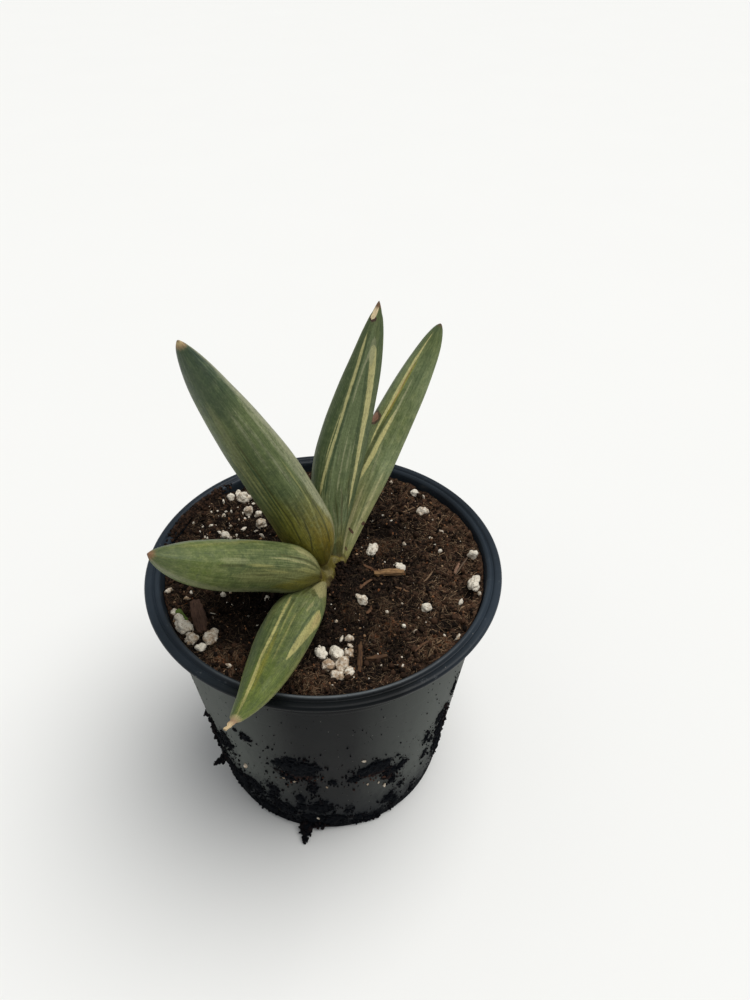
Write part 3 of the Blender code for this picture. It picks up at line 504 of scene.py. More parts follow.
def colour_property(title, description, red, green, blue):
    return FloatVectorProperty(name=title, description=description, subtype="COLOR", size=3,
                               min=0.0, max=1.0, default=screen(red, green, blue))


class PotSettings(PropertyGroup):
    """Finish of the nursery pot."""

    plastic: colour_property("Plastic", "Bare black plastic", 12, 14, 15)
    # Dust and painted sheen: this pale colour also stands for the reflection that lightens the wall towards
    # its sides.
    dust_and_sheen: colour_property("Dusty plastic", "Plastic with a film of dried dust", 88, 92, 88)
    wet_soil: colour_property("Wet soil", "Soil smeared on the wall", 9, 12, 17)
    dry_soil: colour_property("Dry soil", "Crumbs stuck on the wall", 74, 50, 40)
    # Painted reflection: this bluish colour stands for the reflection on the rim and inside the pot.
    film_and_reflection: colour_property("Film", "Bluish film on the rim and inside it", 50, 60, 70)
    crust: FloatProperty(name="Crust", description="Thickest stuck soil", unit="LENGTH", min=0,
                         default=0.0008)
    crumbs: IntProperty(name="Crumbs", description="Number of crumbs on the wall", min=0, default=5200)


class SoilSettings(PropertyGroup):
    """Potting soil and the loose things in it."""

    # Painted shade: this darkest soil colour also stands for the shade in the hollows.
    wet_and_shaded: colour_property("Wet soil", "Darkest soil in the hollows", 17, 11, 8)
    damp: colour_property("Damp soil", "Most of the soil", 82, 59, 44)
    russet: colour_property("Russet", "Clumps of coconut fibre", 110, 67, 40)
    fibre: colour_property("Fibre", "Palest peat fibres", 172, 144, 114)
    cells: IntProperty(name="Cells", description="Cells across the soil's surface", min=40, default=205)
    crumbs: IntProperty(name="Crumbs", description="Number of loose crumbs", min=0, default=8000)
    flecks: IntProperty(name="Flecks", description="Number of wood flecks", min=0, default=900)
    fibres: IntProperty(name="Fibres", description="Number of loose fibres", min=0, default=6600)


class LeafSettings(PropertyGroup):
    """Colours and fineness of the leaves."""

    deep_green: colour_property("Deep green", "Darkest green of the margins", 54, 72, 42)
    blue_green: colour_property("Blue green", "Dark tips of old leaves", 42, 60, 50)
    leaf_green: colour_property("Leaf green", "Main green", 80, 94, 52)
    fresh_green: colour_property("Fresh green", "Brighter green near young tips", 88, 104, 40)
    grey_green: colour_property("Grey green", "Mottled grey green", 98, 112, 74)
    pale_green: colour_property("Pale green", "Washed-out green", 114, 118, 74)
    olive: colour_property("Olive", "Yellowish green of the bases", 106, 102, 36)
    dark_olive: colour_property("Dark olive", "Dark lines at the bases", 58, 60, 22)
    yellow_base: colour_property("Yellow base", "Yellowed foot of an old leaf", 124, 108, 24)
    pale_olive: colour_property("Pale olive", "Faint stripes", 138, 138, 86)
    cream: colour_property("Cream", "Cream variegation", 178, 174, 118)
    grey_cream: colour_property("Grey cream", "Fine whitish streaks", 144, 148, 112)
    whitish: colour_property("Whitish", "Pale foot of the front leaf", 160, 156, 116)
    yellow_green: colour_property("Yellow green", "Yellow borders and stains", 122, 120, 42)
    sage: colour_property("Sage", "Greyish pale stripes", 142, 144, 118)
    moss: colour_property("Moss", "Darker clouds on young skin", 70, 88, 32)
    bone: colour_property("Bone", "Pale dry skin", 232, 212, 168)
    tan: colour_property("Tan", "Dry skin at the tips", 192, 164, 124)
    rust: colour_property("Rust", "Orange-brown flecks and tips", 140, 84, 50)
    scar_brown: colour_property("Scar brown", "Healed scar", 120, 86, 66)
    spine_brown: colour_property("Spine brown", "Dry spine of the tip", 66, 44, 34)
    rings: IntProperty(name="Rings", description="Rings along each leaf", min=20, default=160)
    sides: IntProperty(name="Sides", description="Points round each ring", min=20, default=96)
    rib: FloatProperty(name="Rib", description="Depth of the fine ribs", unit="LENGTH", min=0, default=0.0001)


class LitterSettings(PropertyGroup):
    """Crown, perlite and bark."""

    stem: colour_property("Stem", "Yellow-green crown", 94, 84, 18)
    sheath: colour_property("Sheath", "Papery sheath edges", 126, 116, 60)
    perlite: colour_property("Perlite", "Clean perlite", 224, 216, 200)
    stained: colour_property("Stained perlite", "Perlite stained by soil", 150, 122, 92)
    bark: colour_property("Bark", "Old bark", 66, 46, 36)
    fresh_wood: colour_property("Fresh wood", "Split pale wood", 158, 124, 84)


class StageSettings(PropertyGroup):
    """Floor, lights and camera."""

    floor: colour_property("Floor", "Plain pale floor", 240, 240, 238)
    key: FloatProperty(name="Key", description="Strength of the broad light from above", min=0, default=2.35)
    spread: FloatProperty(name="Spread", description="How broad that light is", unit="ROTATION", min=0,
                          default=0.9)
    sky: FloatProperty(name="Sky", description="Strength of the light from all round", min=0, default=0.42)


def both_ways(operation):
    """A Python operator for links, and its reflected form."""
    return (lambda link, other: link.math(operation, link, other),
            lambda link, other: link.math(operation, other, link))


class Link:
    """A socket of a material's nodes that works in Python expressions."""

    def __init__(self, tree, socket):
        self.tree = tree
        self.socket = socket

    def math(self, operation, *values, clamp=False):
        node = self.tree.nodes.new("ShaderNodeMath")
        node.operation = operation
        node.use_clamp = clamp
        for socket, value in zip(node.inputs, values):
            feed(self.tree, socket, value)
        return Link(self.tree, node.outputs[0])

    __add__, __radd__ = both_ways("ADD")
    __sub__, __rsub__ = both_ways("SUBTRACT")
    __mul__, __rmul__ = both_ways("MULTIPLY")

    def __abs__(self):
        return self.math("ABSOLUTE", self)

    def angle_from(self, other):
        return self.math("ARCTAN2", self, other)

    def most(self, other):
        return self.math("MAXIMUM", self, other)

    def sine(self):
        return self.math("SINE", self)

    def between(self, low, high):
        """0 at low, 1 at high, and held at those outside them."""
        return self.math("MULTIPLY", self - low, 1 / (high - low), clamp=True)


def feed(tree, socket, value):
    """Links a socket, or sets its value. A colour of three numbers gets its alpha."""
    if isinstance(value, Link):
        tree.links.new(value.socket, socket)
    elif socket.type == "RGBA":
        socket.default_value = (*value[:3], 1.0)
    else:
        socket.default_value = value


class Finish:
    """A material whose nodes all come from its node method."""

    def __init__(self, name):
        self.material = bpy.data.materials.new(name)
        self.material.use_nodes = True
        self.tree = self.material.node_tree
        self.shader = self.tree.nodes["Principled BSDF"]

    def node(self, kind, settings=None, values=None, output=0):
        """Adds a node, makes its settings, then fills its sockets. Returns an output."""
        made = self.tree.nodes.new(kind)
        for key, value in (settings or {}).items():
            if key == "stops":
                self.set_stops(made.color_ramp, value)
            else:
                setattr(made, key, value)
        for key, value in (values or {}).items():
            feed(self.tree, made.inputs[key], value)
        return Link(self.tree, made.outputs[output])

    def set_stops(self, ramp, stops):
        ramp.elements.remove(ramp.elements[1])
        for i, (place, colour) in enumerate(stops):
            element = ramp.elements[0] if i == 0 else ramp.elements.new(place)
            element.position = place
            element.color = (*colour[:3], 1.0)

    def attribute(self, name):
        return self.node("ShaderNodeAttribute", {"attribute_name": name}, output="Fac")

    def millimetres(self):
        """The place on the object, in millimetres."""
        return self.scaled(self.node("ShaderNodeTexCoord", output="Object"), 1 / MM)

    def stretched(self, place, scale, turn=0.0):
        """Places scaled by a number each way, then turned on Z."""
        return self.node("ShaderNodeMapping", None,
                         {"Vector": place, "Rotation": (0, 0, turn), "Scale": scale})

    def joined(self, x, y, z):
        return self.node("ShaderNodeCombineXYZ", None, {0: x, 1: y, 2: z})

    def parts(self, vector):
        made = self.node("ShaderNodeSeparateXYZ", None, {0: vector})
        outputs = made.socket.node.outputs
        return [Link(self.tree, outputs[i]) for i in range(3)]

    def noise(self, vector, scale, detail, roughness, distortion=0.0):
        return self.node("ShaderNodeTexNoise", None, {"Vector": vector, "Scale": scale, "Detail": detail,
                                                      "Roughness": roughness, "Distortion": distortion})

    def cells(self, vector, scale):
        return self.node("ShaderNodeTexVoronoi", None, {"Vector": vector, "Scale": scale}, output="Distance")

    def ramp(self, value, stops):
        return self.node("ShaderNodeValToRGB", {"stops": stops}, {"Fac": value})

    def course(self, value, points):
        """Two numbers that follow straight lines between (place, number, number) points."""
        lows = [min(point[i] for point in points) for i in (1, 2)]
        spans = [max(point[i] for point in points) - low + 1e-4 for i, low in zip((1, 2), lows)]
        stops = [(place, ((a - lows[0]) / spans[0], (b - lows[1]) / spans[1], 0.0)) for place, a, b in points]
        parts = self.parts(self.ramp(value, stops))
        return tuple(part * span + low for part, span, low in zip(parts, spans, lows))

    def blend(self, mask, below, above):
        return self.node("ShaderNodeMix", {"data_type": "RGBA"}, {0: mask, 6: below, 7: above}, output=2)

    def scaled(self, vector, factor):
        return self.node("ShaderNodeVectorMath", {"operation": "SCALE"}, {0: vector, "Scale": factor})

    def vector(self, operation, first, second):
        return self.node("ShaderNodeVectorMath", {"operation": operation}, {0: first, 1: second})

    def bump(self, height, depth):
        values = {"Strength": 1.0, "Distance": depth * MM, "Height": height}
        return self.node("ShaderNodeBump", None, values)

    def surface(self, **sockets):
        """Feeds the shader's sockets, named with _ for a space. Returns the material."""
        for key, value in sockets.items():
            feed(self.tree, self.shader.inputs[key.replace("_", " ")], value)
        return self.material


def add_object(name, data):
    item = bpy.data.objects.new(name, data)
    bpy.context.scene.collection.objects.link(item)
    return item


def make_piece(name, points, faces, material, slot, stands_for=(), **attributes):
    """A mesh piece from points in millimetres, riding on the plant's one body."""
    mesh = bpy.data.meshes.new(name)
    mesh.from_pydata((np.asarray(points, float) * MM).tolist(), [], faces)
    for key, values in attributes.items():
        layer = mesh.attributes.new(key, "FLOAT", "POINT")
        layer.data.foreach_set("value", np.asarray(values, np.float32))
    mesh.validate()
    mesh.shade_smooth()
    mesh.materials.append(material)
    piece = add_object(name, mesh)
    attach(piece, "root")
    if stands_for:
        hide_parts(*stands_for)
    return piece


def noise_at(points, scale=1.0, seed=0.0):
    """Smooth noise between about -1 and 1 at each row of points."""
    shifted = np.asarray(points, float) * scale + seed
    return np.array([noise.noise(Vector(row)) for row in shifted])


def cell_domes(points, scale, seed=0.0):
    """Rounded grains: 1 in the middle of each cell, down to 0 at its edge."""
    shifted = np.asarray(points, float) * scale + seed
    nearest = np.array([noise.voronoi(Vector(row))[0][0] for row in shifted])
    return np.clip(1 - (nearest / 0.75) ** 2, 0, 1)


def strip_faces(rows, columns, first=0):
    """Faces between rings of points: rows of them, closed round."""
    faces = []
    for i in range(rows - 1):
        low, high = first + i * columns, first + (i + 1) * columns
        for k in range(columns):
            n = (k + 1) % columns
            faces.append((low + k, low + n, high + n, high + k))
    return faces


def capped_faces(rows, columns, first=0):
    """The same rings closed by two more points, which follow them, at their ends."""
    faces = strip_faces(rows, columns, first)
    low, last = first + rows * columns, first + (rows - 1) * columns
    for k in range(columns):
        n = (k + 1) % columns
        faces += [(low, first + n, first + k), (low + 1, last + k, last + n)]
    return faces


def rows_of(x, y, z=0.0):
    """Rows of points from their x, y and z, of which one may be a single number."""
    return np.stack(np.broadcast_arrays(x, y, z), 1)


def ring(radius, turns, z):
    """Points round the axis at one radius and height, or at one of each for each turn."""
    return rows_of(radius * np.cos(turns), radius * np.sin(turns), z)


def around(sides):
    """Angles of points spread evenly round a ring."""
    return 2 * np.pi * np.arange(sides) / sides


def wall_radius(z):
    top = POT_WALL_TOP_RADIUS - POT_SHOULDER_STEP
    radius = POT_BASE_RADIUS + (top - POT_BASE_RADIUS) * min(z, POT_SHOULDER_Z) / POT_SHOULDER_Z
    return radius + (POT_SHOULDER_STEP if z > POT_SHOULDER_Z else 0.0)


def inner_radius(z):
    return wall_radius(z) - POT_WALL


def floor_section(lift):
    """The pot floor's upper side from the axis to the wall, raised by lift."""
    low = POT_FLOOR + lift
    high = low + POT_RECESS_HEIGHT
    return [(0.0, low), (POT_PAD_RADIUS, low), (POT_PAD_RADIUS + POT_RECESS_SLOPE, high),
            (POT_RECESS_RADIUS - POT_RECESS_SLOPE, high), (POT_RECESS_RADIUS, low),
            (inner_radius(low) - lift, low)]


def smooth_section(points, steps):
    """A round-cornered line through the points of a section."""
    padded = [points[0], *points, points[-1]]
    line = []
    for a, b, c, d in zip(padded, padded[1:], padded[2:], padded[3:]):
        for i in range(steps):
            t = i / steps
            line.append(tuple(0.5 * (2 * q + (r - p) * t + (2 * p - 5 * q + 4 * r - s) * t * t
                                     + (3 * q - p - 3 * r + s) * t ** 3)
                              for p, q, r, s in zip(a, b, c, d)))
    return line + [points[-1]]


def pot_section():
    """The pot's outline from under its middle, up the wall, over the rim and down inside."""
    under = [(0.0, 0.0), (POT_PAD_RADIUS, 0.0), (POT_PAD_RADIUS + POT_RECESS_SLOPE, POT_RECESS_HEIGHT),
             (POT_RECESS_RADIUS - POT_RECESS_SLOPE, POT_RECESS_HEIGHT), (POT_RECESS_RADIUS, 0.0)]
    foot = []
    for i in range(5):
        turn = math.pi / 2 * i / 4
        foot.append((POT_BASE_RADIUS - POT_EDGE_ROUND * (1 - math.sin(turn)),
                     POT_EDGE_ROUND * (1 - math.cos(turn))))
    wall = []
    for i in range(1, POT_WALL_ROWS + 1):
        z = POT_EDGE_ROUND + (POT_SHOULDER_Z - POT_EDGE_ROUND) * i / POT_WALL_ROWS
        wall.append((wall_radius(z), z))
    band = [(POT_WALL_TOP_RADIUS - 0.12, POT_SHOULDER_Z + 0.38), (POT_WALL_TOP_RADIUS, POT_SHOULDER_Z + 0.6),
            (POT_WALL_TOP_RADIUS, (POT_SHOULDER_Z + FLARE_Z) / 2), (POT_WALL_TOP_RADIUS, FLARE_Z)]
    for i in range(1, 4):
        band.append((POT_WALL_TOP_RADIUS + FLARE_STEP * (i / 3) ** 2,
                     FLARE_Z + (POT_HEIGHT - RIM_DROP - FLARE_Z) * i / 3))
    rim = smooth_section([(POT_RIM_RADIUS - a, POT_HEIGHT - b) for a, b in RIM_SECTION], RIM_STEPS)
    inside = [(inner_radius(FLARE_Z), FLARE_Z),
              (inner_radius(POT_SHOULDER_Z), POT_SHOULDER_Z - POT_SHOULDER_STEP)]
    for i in range(1, POT_INNER_ROWS):
        z = (POT_SHOULDER_Z - POT_SHOULDER_STEP) * (1 - i / POT_INNER_ROWS)
        inside.append((inner_radius(z), z))
    return under + foot + wall + band + rim + inside + floor_section(0.0)[::-1]


def turned_solid(section, sides):
    """Points and faces of a turned form whose section starts and ends on the axis."""
    rings = [ring(radius, around(sides), z) for radius, z in section[1:-1]]
    points = np.concatenate([*rings, [[0, 0, section[0][1]], [0, 0, section[-1][1]]]])
    return points, capped_faces(len(rings), sides)


def turn_from(x, y, angle):
    """How far places are turned round the axis from an angle, in degrees."""
    return (np.degrees(np.arctan2(y, x)) - angle + 180) % 360 - 180


def smear_warps(points):
    """Two shifts that make the smears' outlines uneven."""
    return 0.5 * noise_at(points, 0.24, 3.0), 0.5 * noise_at(points, 0.24, 7.0)


def smear_at(points, warps, smear):
    """How much of one smear is at each point on the wall, and how far above its middle it is."""
    angle, height, half_width, half_height, strength = smear
    x, y, z = points.T
    aside = np.radians(turn_from(x, y, angle)) * np.hypot(x, y) / half_width
    above = (z - height) / half_height
    return strength * np.exp(-((aside + warps[0]) ** 2 + (above + warps[1]) ** 2)), above


def smear_amount(points):
    """How much soil sticks at points on the pot's wall, from 0 to about 1."""
    warps = smear_warps(points)
    amount = 0.70 * np.exp(-(points[:, 2] / 9.5) ** 2)
    for smear in WALL_SMEARS:
        amount = np.maximum(amount, smear_at(points, warps, smear)[0])
    return amount


def pot_finish(settings):
    """Satin black plastic with dust and painted sheen towards its sides, a painted reflection on the rim and
    inside, a painted highlight on the lip, smudges, specks and smeared soil.
    """
    paint = Finish("PotPlastic")
    place = paint.millimetres()
    height = paint.parts(place)[2]
    soiling = paint.attribute("soiling")
    dusting = paint.attribute("dusting")
    rimming = paint.attribute("rimming")
    lip_wear = paint.attribute("lip_wear")
    upright = paint.stretched(place, (1.0, 1.0, 0.5))
    cloud = paint.noise(place, 0.05, 4, 0.6)
    ragged = paint.noise(upright, 0.62, 6, 0.72)
    fine = paint.noise(place, 2.2, 3, 0.6)
    streaky = paint.noise(paint.stretched(place, (0.35, 0.35, 0.03)), 1.0, 4, 0.6)

    # Dust and painted sheen: paler towards the sides, where the black plastic would reflect its surroundings.
    dust = (dusting * (0.7 + 0.5 * cloud) + (streaky - 0.5) * 0.35 * dusting).between(0.0, 1.0)
    colour = paint.blend(dust, settings.plastic, settings.dust_and_sheen)
    # Painted reflection: bluish on the rim and inside, strongest towards the sides.
    colour = paint.blend(rimming * (0.3 + 0.9 * cloud), colour, settings.film_and_reflection)
    rim = rimming.between(0.0, 0.1)
    # Painted highlight along the crest of the lip in front.
    colour = paint.blend(lip_wear * (0.36 + 0.6 * streaky), colour, LIP_HIGHLIGHT)
    seam = abs(height - MOULD_LINE).between(0.35, 0.0) * dusting * 0.3
    colour = paint.blend(seam, colour, settings.dust_and_sheen)
    stain = (soiling + (ragged - 0.5) * 1.5 + (fine - 0.5) * 0.35).between(0.36, 0.46)
    low = height.between(34.0, 4.0)
    # A dark film of wet soil low on the wall.
    film_and_reflection = (soiling * 0.9 + low * 0.8 + (cloud - 0.5) * 0.9 + (ragged - 0.5) * 1.1).between(0.1, 0.8)
    colour = paint.blend(film_and_reflection * 0.85, colour, WET_FILM)
    colour = paint.blend(stain * 0.93, colour, settings.wet_soil)
    dots = paint.cells(upright, 0.26)
    speck = (0.085 - dots + (fine - 0.5) * 0.12).between(0.0, 0.02) * (1.0 - rim)
    more_dots = paint.cells(upright, 0.62)
    crowd = (height.between(56.0, 34.0) * 0.10 + soiling * 0.16 + (ragged - 0.5) * 0.2).between(0.0, 0.4)
    speck = speck.most((crowd * 0.4 - more_dots + (fine - 0.5) * 0.12).between(0.0, 0.03) * (1.0 - rim))
    colour = paint.blend(speck, colour, settings.wet_soil)
    pale_dots = paint.cells(paint.vector("ADD", place, (7.0, 3.0, 5.0)), 0.33)
    grit = (0.05 - pale_dots).between(0.0, 0.015)
    colour = paint.blend(grit * 0.6, colour, PALE_GRIT)
    scuff = (streaky - 0.62).between(0.0, 0.1) * (fine - 0.5).between(0.0, 0.1) * rim
    colour = paint.blend(scuff * 0.25, colour, SCUFF)

    gloss = 0.34 + 0.14 * cloud + 0.2 * dust * (1.0 - rim) + 0.34 * stain
    relief = ragged * stain + 0.08 * fine + 0.3 * speck
    return paint.surface(Base_Color=colour, Roughness=gloss, Normal=paint.bump(relief, 0.24),
                         Specular_IOR_Level=0.06, Coat_Weight=rim * 0.16, Coat_Roughness=0.16)


def build_pot(settings):
    points, faces = turned_solid(pot_section(), POT_SIDES)
    x, y, z = points.T
    radius = np.hypot(x, y)
    outside = (radius > [wall_radius(height) - 0.3 for height in z]) & (z < POT_HEIGHT - RIM_DROP + 0.2)
    turned = turn_from(x, y, LEAST_SHEEN_ANGLE)
    away = np.abs(turned)
    # The painted sheen and the painted reflection both fade towards the back.
    painted_light_back_fade = 1 - 0.7 * np.clip((away - 76) / 40, 0, 1)
    # Dust and painted sheen: none on the side towards the camera, more towards the sides, a little more on
    # the left.
    dust_and_sheen = np.clip((away - 10) / 34, 0, 1) * painted_light_back_fade * (1.08 - 0.24 * np.sin(np.radians(turned)))
    # Painted reflection on the rim and inside, least on the side towards the camera.
    reflection_share = (0.04 + 0.96 * np.clip((away - 22) / 40, 0, 1)) * (0.4 + 0.6 * painted_light_back_fade)
    # Painted highlight along the lip's crest, strongest in front.
    lip = np.exp(-((radius - POT_RIM_RADIUS + LIP_CREST) / 0.35) ** 2) * (z > POT_HEIGHT - 1.0)
    highlight_front = np.exp(-(turn_from(x, y, LIP_HIGHLIGHT_ANGLE) / LIP_HIGHLIGHT_SPREAD) ** 2)
    pot = make_piece("nursery_pot", points, faces, pot_finish(settings), "pot_plastic", ["pot"],
                     soiling=np.where(outside, smear_amount(points), 0.0),
                     dusting=np.where(outside, dust_and_sheen, 0.0),
                     rimming=np.where(outside & (z < POT_HEIGHT - RIM_DROP), 0.0, reflection_share),
                     lip_wear=lip * highlight_front)
    cut_drains(pot)
    pot.data.set_sharp_from_angle(angle=math.radians(POT_SHARP))


def apply_modifiers(item):
    """Gives a piece the mesh that its modifiers make."""
    bpy.context.view_layer.update()
    evaluated = item.evaluated_get(bpy.context.evaluated_depsgraph_get())
    mesh = bpy.data.meshes.new_from_object(evaluated)
    item.modifiers.clear()
    item.data = mesh


def cut_drains(pot):
    """Cuts the drainage holes through the pot's floor."""
    bm = bmesh.new()
    for k in range(DRAIN_HOLES):
        angle = 2 * math.pi * (k + 0.5) / DRAIN_HOLES
        place = Matrix.Translation(Vector((math.cos(angle), math.sin(angle), 0)) * DRAIN_CIRCLE * MM)
        bmesh.ops.create_cone(bm, cap_ends=True, segments=DRAIN_SIDES, matrix=place,
                              radius1=DRAIN_RADIUS * MM, radius2=DRAIN_RADIUS * MM,
                              depth=4 * (POT_FLOOR + POT_RECESS_HEIGHT) * MM)
    mesh = bpy.data.meshes.new("drain_cutter")
    bm.to_mesh(mesh)
    bm.free()
    cutter = add_object("drain_cutter", mesh)
    modifier = pot.modifiers.new("drains", "BOOLEAN")
    modifier.object = cutter
    modifier.solver = "EXACT"
    apply_modifiers(pot)
    bpy.data.objects.remove(cutter)


def mound(x, y, middle_x, middle_y, reach, steep=1.0):
    """1 at a middle, and down to 0 round it."""
    return np.exp(-(((x - middle_x) ** 2 + (y - middle_y) ** 2) / reach ** 2) ** steep)


def soil_form(x, y):
    """Height of the soil as in the CAD."""
    z = SOIL_LEVEL + SOIL_TILT * x
    for cx, cy, height, reach in SOIL_FORMS:
        z = z + height * mound(x, y, cx, cy, reach)
    for height, width, level in SOIL_LUMPS:
        z += height * noise_at(rows_of(x / width, y / width, level))
    edge = np.maximum(0.0, (np.hypot(x, y) - SOIL_EDGE_START) / SOIL_EDGE_REACH)
    return np.minimum(z + SOIL_EDGE_RISE * edge ** 2, SOIL_EDGE_LIMIT)


def soil_reach(z):
    """Radius of the soil's side at height z above the flare, next to the wall."""
    inward, down = RIM_SECTION[-1]
    lip_radius, lip_z = POT_RIM_RADIUS - inward, POT_HEIGHT - down
    share = np.clip((np.asarray(z) - FLARE_Z) / (lip_z - FLARE_Z), 0, 1)
    return inner_radius(FLARE_Z) + (lip_radius - inner_radius(FLARE_Z)) * share - GAP


def clumpiness(x, y):
    """How near each point is to a clump of red-brown fibre, from 0 to 1."""
    return np.max([mound(x, y, cx, cy, reach) for cx, cy, _, reach in SOIL_CLUMPS], axis=0)


def paleness_with_shade(x, y):
    """How pale the soil is at each place, from 0 to about 1: paler to the right and towards the wall, with
    painted shade in the hollows and under the low leaf.
    """
    dry = 0.06 + 0.46 * np.clip((x - 6) / 32, 0, 1) + 0.34 * np.clip((np.hypot(x, y) - 28) / 16, 0, 1)
    dry += 0.16 * noise_at(rows_of(x, y), 0.12, 6.6)
    # Painted shade: the hollows are darker.
    for cx, cy, _, reach in SOIL_HOLLOWS:
        dry -= 0.5 * mound(x, y, cx, cy, 1.2 * reach)
    # Painted shade under the low leaf.
    return np.clip(dry - 0.3 * mound(x, y, *LEAF_SHADE_SPOT), 0, 1)


def soil_bank(x, y):
    """How far the soil is banked up against the wall."""
    aside = turn_from(x, y, SOIL_BANK_ANGLE) / SOIL_BANK_SPREAD
    return SOIL_BANK_RISE * np.exp(-aside ** 2) * np.clip((np.hypot(x, y) - 41) / 6, 0, 1)


def soil_surface(x, y):
    """Height of the crumbly soil at rows of places, close to the CAD's form."""
    rough = np.zeros(len(x))
    for cx, cy, height, reach in SOIL_CLUMPS + SOIL_HOLLOWS:
        rough += 0.7 * height * mound(x, y, cx, cy, reach, 1.3)
    flat = rows_of(x, y)
    bend = 0.9 * noise_at(flat, 0.6, 9.1)
    flat = flat + rows_of(bend, -bend, bend)
    rough += 0.85 * (cell_domes(flat, 0.36, 4.0) - 0.55)
    rough += 0.50 * (cell_domes(flat, 0.85, 17.0) - 0.5)
    rough += 0.70 * noise_at(flat, 0.62, 2.3) + 0.26 * noise_at(flat, 2.2, 5.9)
    near_wall = np.clip((SOIL_RADIUS - np.hypot(x, y)) / 2.5, 0.35, 1)
    return soil_form(x, y) + rough * near_wall + soil_bank(x, y)


def disk_grid(cells, radius):
    """Places on a disk from a square grid, with rows that stay evenly spread."""
    steps = np.linspace(-1, 1, cells + 1)
    a, b = np.meshgrid(steps, steps, indexing="ij")
    wide = np.abs(a) > np.abs(b)
    safe_a, safe_b = np.where(a == 0, 1, a), np.where(b == 0, 1, b)
    reach = np.where(wide, a, b) * radius
    turn = np.where(wide, np.pi / 4 * b / safe_a, np.pi / 2 - np.pi / 4 * a / safe_b)
    turn = np.where((a == 0) & (b == 0), 0, turn)
    return (reach * np.cos(turn)).ravel(), (reach * np.sin(turn)).ravel()


def soil_finish(settings):
    """Dark damp peat with paler fibres and red-brown clumps, and painted shade in the hollows."""
    paint = Finish("PottingSoil")
    place = paint.millimetres()
    clump = paint.attribute("clump")
    lift = paint.attribute("lift")
    # The soil's paleness, which carries painted shade in the hollows and under the low leaf.
    dry = paint.attribute("dry")
    crumbs = paint.noise(place, 0.9, 6, 0.7)
    grain = paint.noise(place, 3.0, 4, 0.65)
    threads = paint.noise(paint.stretched(place, (0.5, 2.6, 1.0), 0.7), 1.0, 5, 0.6, 1.2)
    other = paint.noise(paint.stretched(place, (0.5, 2.4, 1.0), -0.9), 1.0, 5, 0.6, 1.0)
    # Painted light and shade: the tops of the lumps are lighter and the hollows darker.
    light = (lift * 0.9 + (crumbs - 0.5) * 3.2 + (grain - 0.5) * 2.6 + dry * 1.0 - 0.36).between(0.0, 1.0)
    mass = (clump + (crumbs - 0.5) * 1.6).between(0.35, 0.9)
    colour = paint.blend(light, settings.wet_and_shaded, paint.blend(mass * 0.75, settings.damp, settings.russet))
    thin = (threads.between(0.58, 0.66) + other.between(0.59, 0.67)) * grain.between(0.35, 0.6)
    colour = paint.blend(thin * (0.15 + 0.5 * dry), colour, settings.fibre)
    relief = crumbs + 0.5 * grain + 0.3 * threads
    return paint.surface(Base_Color=colour, Roughness=0.86 + 0.1 * grain, Specular_IOR_Level=0.1,
                         Normal=paint.bump(relief, 0.45))


def build_soil(settings):
    """The soil's body, with a crumbly top and plain sides that fill the pot."""
    cells = settings.cells
    x, y = disk_grid(cells, SOIL_RADIUS)
    height = np.minimum(soil_surface(x, y), SOIL_EDGE_LIMIT + 0.3)
    pull = np.where(np.hypot(x, y) > SOIL_RADIUS - 0.9, soil_reach(height) / SOIL_RADIUS, 1.0)
    x, y = x * pull, y * pull
    side = cells + 1
    corners = [i * side + k for i in range(cells) for k in range(cells)]
    faces = [(corner, corner + side, corner + side + 1, corner + 1) for corner in corners]
    round_trip = ([(i, 0) for i in range(cells)] + [(cells, k) for k in range(cells)]
                  + [(cells - i, cells) for i in range(cells)] + [(0, cells - k) for k in range(cells)])
    border = [i * side + k for i, k in round_trip]
    turns = np.arctan2(y[border], x[border])
    section = [(inner_radius(z) - GAP, z) for z in (FLARE_Z, SOIL_SIDE_Z)] + floor_section(GAP)[::-1][:-1]
    rings = [ring(radius, turns, z) for radius, z in section]
    points = np.concatenate([rows_of(x, y, height), *rings, [[0, 0, POT_FLOOR + GAP]]])
    first, count = len(x), len(border)
    last = first + (len(rings) - 1) * count
    for k in range(count):
        n = (k + 1) % count
        faces += [(border[k], first + k, first + n, border[n]), (last + k, len(points) - 1, last + n)]
    faces += [face[:1] + face[:0:-1] for face in strip_faces(len(rings), count, first)]
    lift = np.zeros(len(points))
    lift[:first] = height - soil_form(x, y) - soil_bank(x, y)
    x, y, _ = points.T
    make_piece("potting_soil", points, faces, soil_finish(settings), "soil", ["soil"],
               clump=clumpiness(x, y), lift=lift, dry=paleness_with_shade(x, y))


def ball(fineness):
    """Points and faces of a round ball of radius 1."""
    bm = bmesh.new()
    bmesh.ops.create_icosphere(bm, subdivisions=fineness, radius=1.0)
    points = np.array([v.co[:] for v in bm.verts])
    faces = np.array([[v.index for v in face.verts] for face in bm.faces])
    bm.free()
    return points, faces


def random_turns(rng, count):
    """A random rotation matrix for each of count pieces."""
    q = rng.normal(size=(count, 4))
    a, b, c, d = (q / np.linalg.norm(q, axis=1, keepdims=True)).T
    rows = [[1 - 2 * (c * c + d * d), 2 * (b * c - a * d), 2 * (b * d + a * c)],
            [2 * (b * c + a * d), 1 - 2 * (b * b + d * d), 2 * (c * d - a * b)],
            [2 * (b * d - a * c), 2 * (c * d + a * b), 1 - 2 * (b * b + c * c)]]
    return np.moveaxis(np.array(rows), 2, 0)


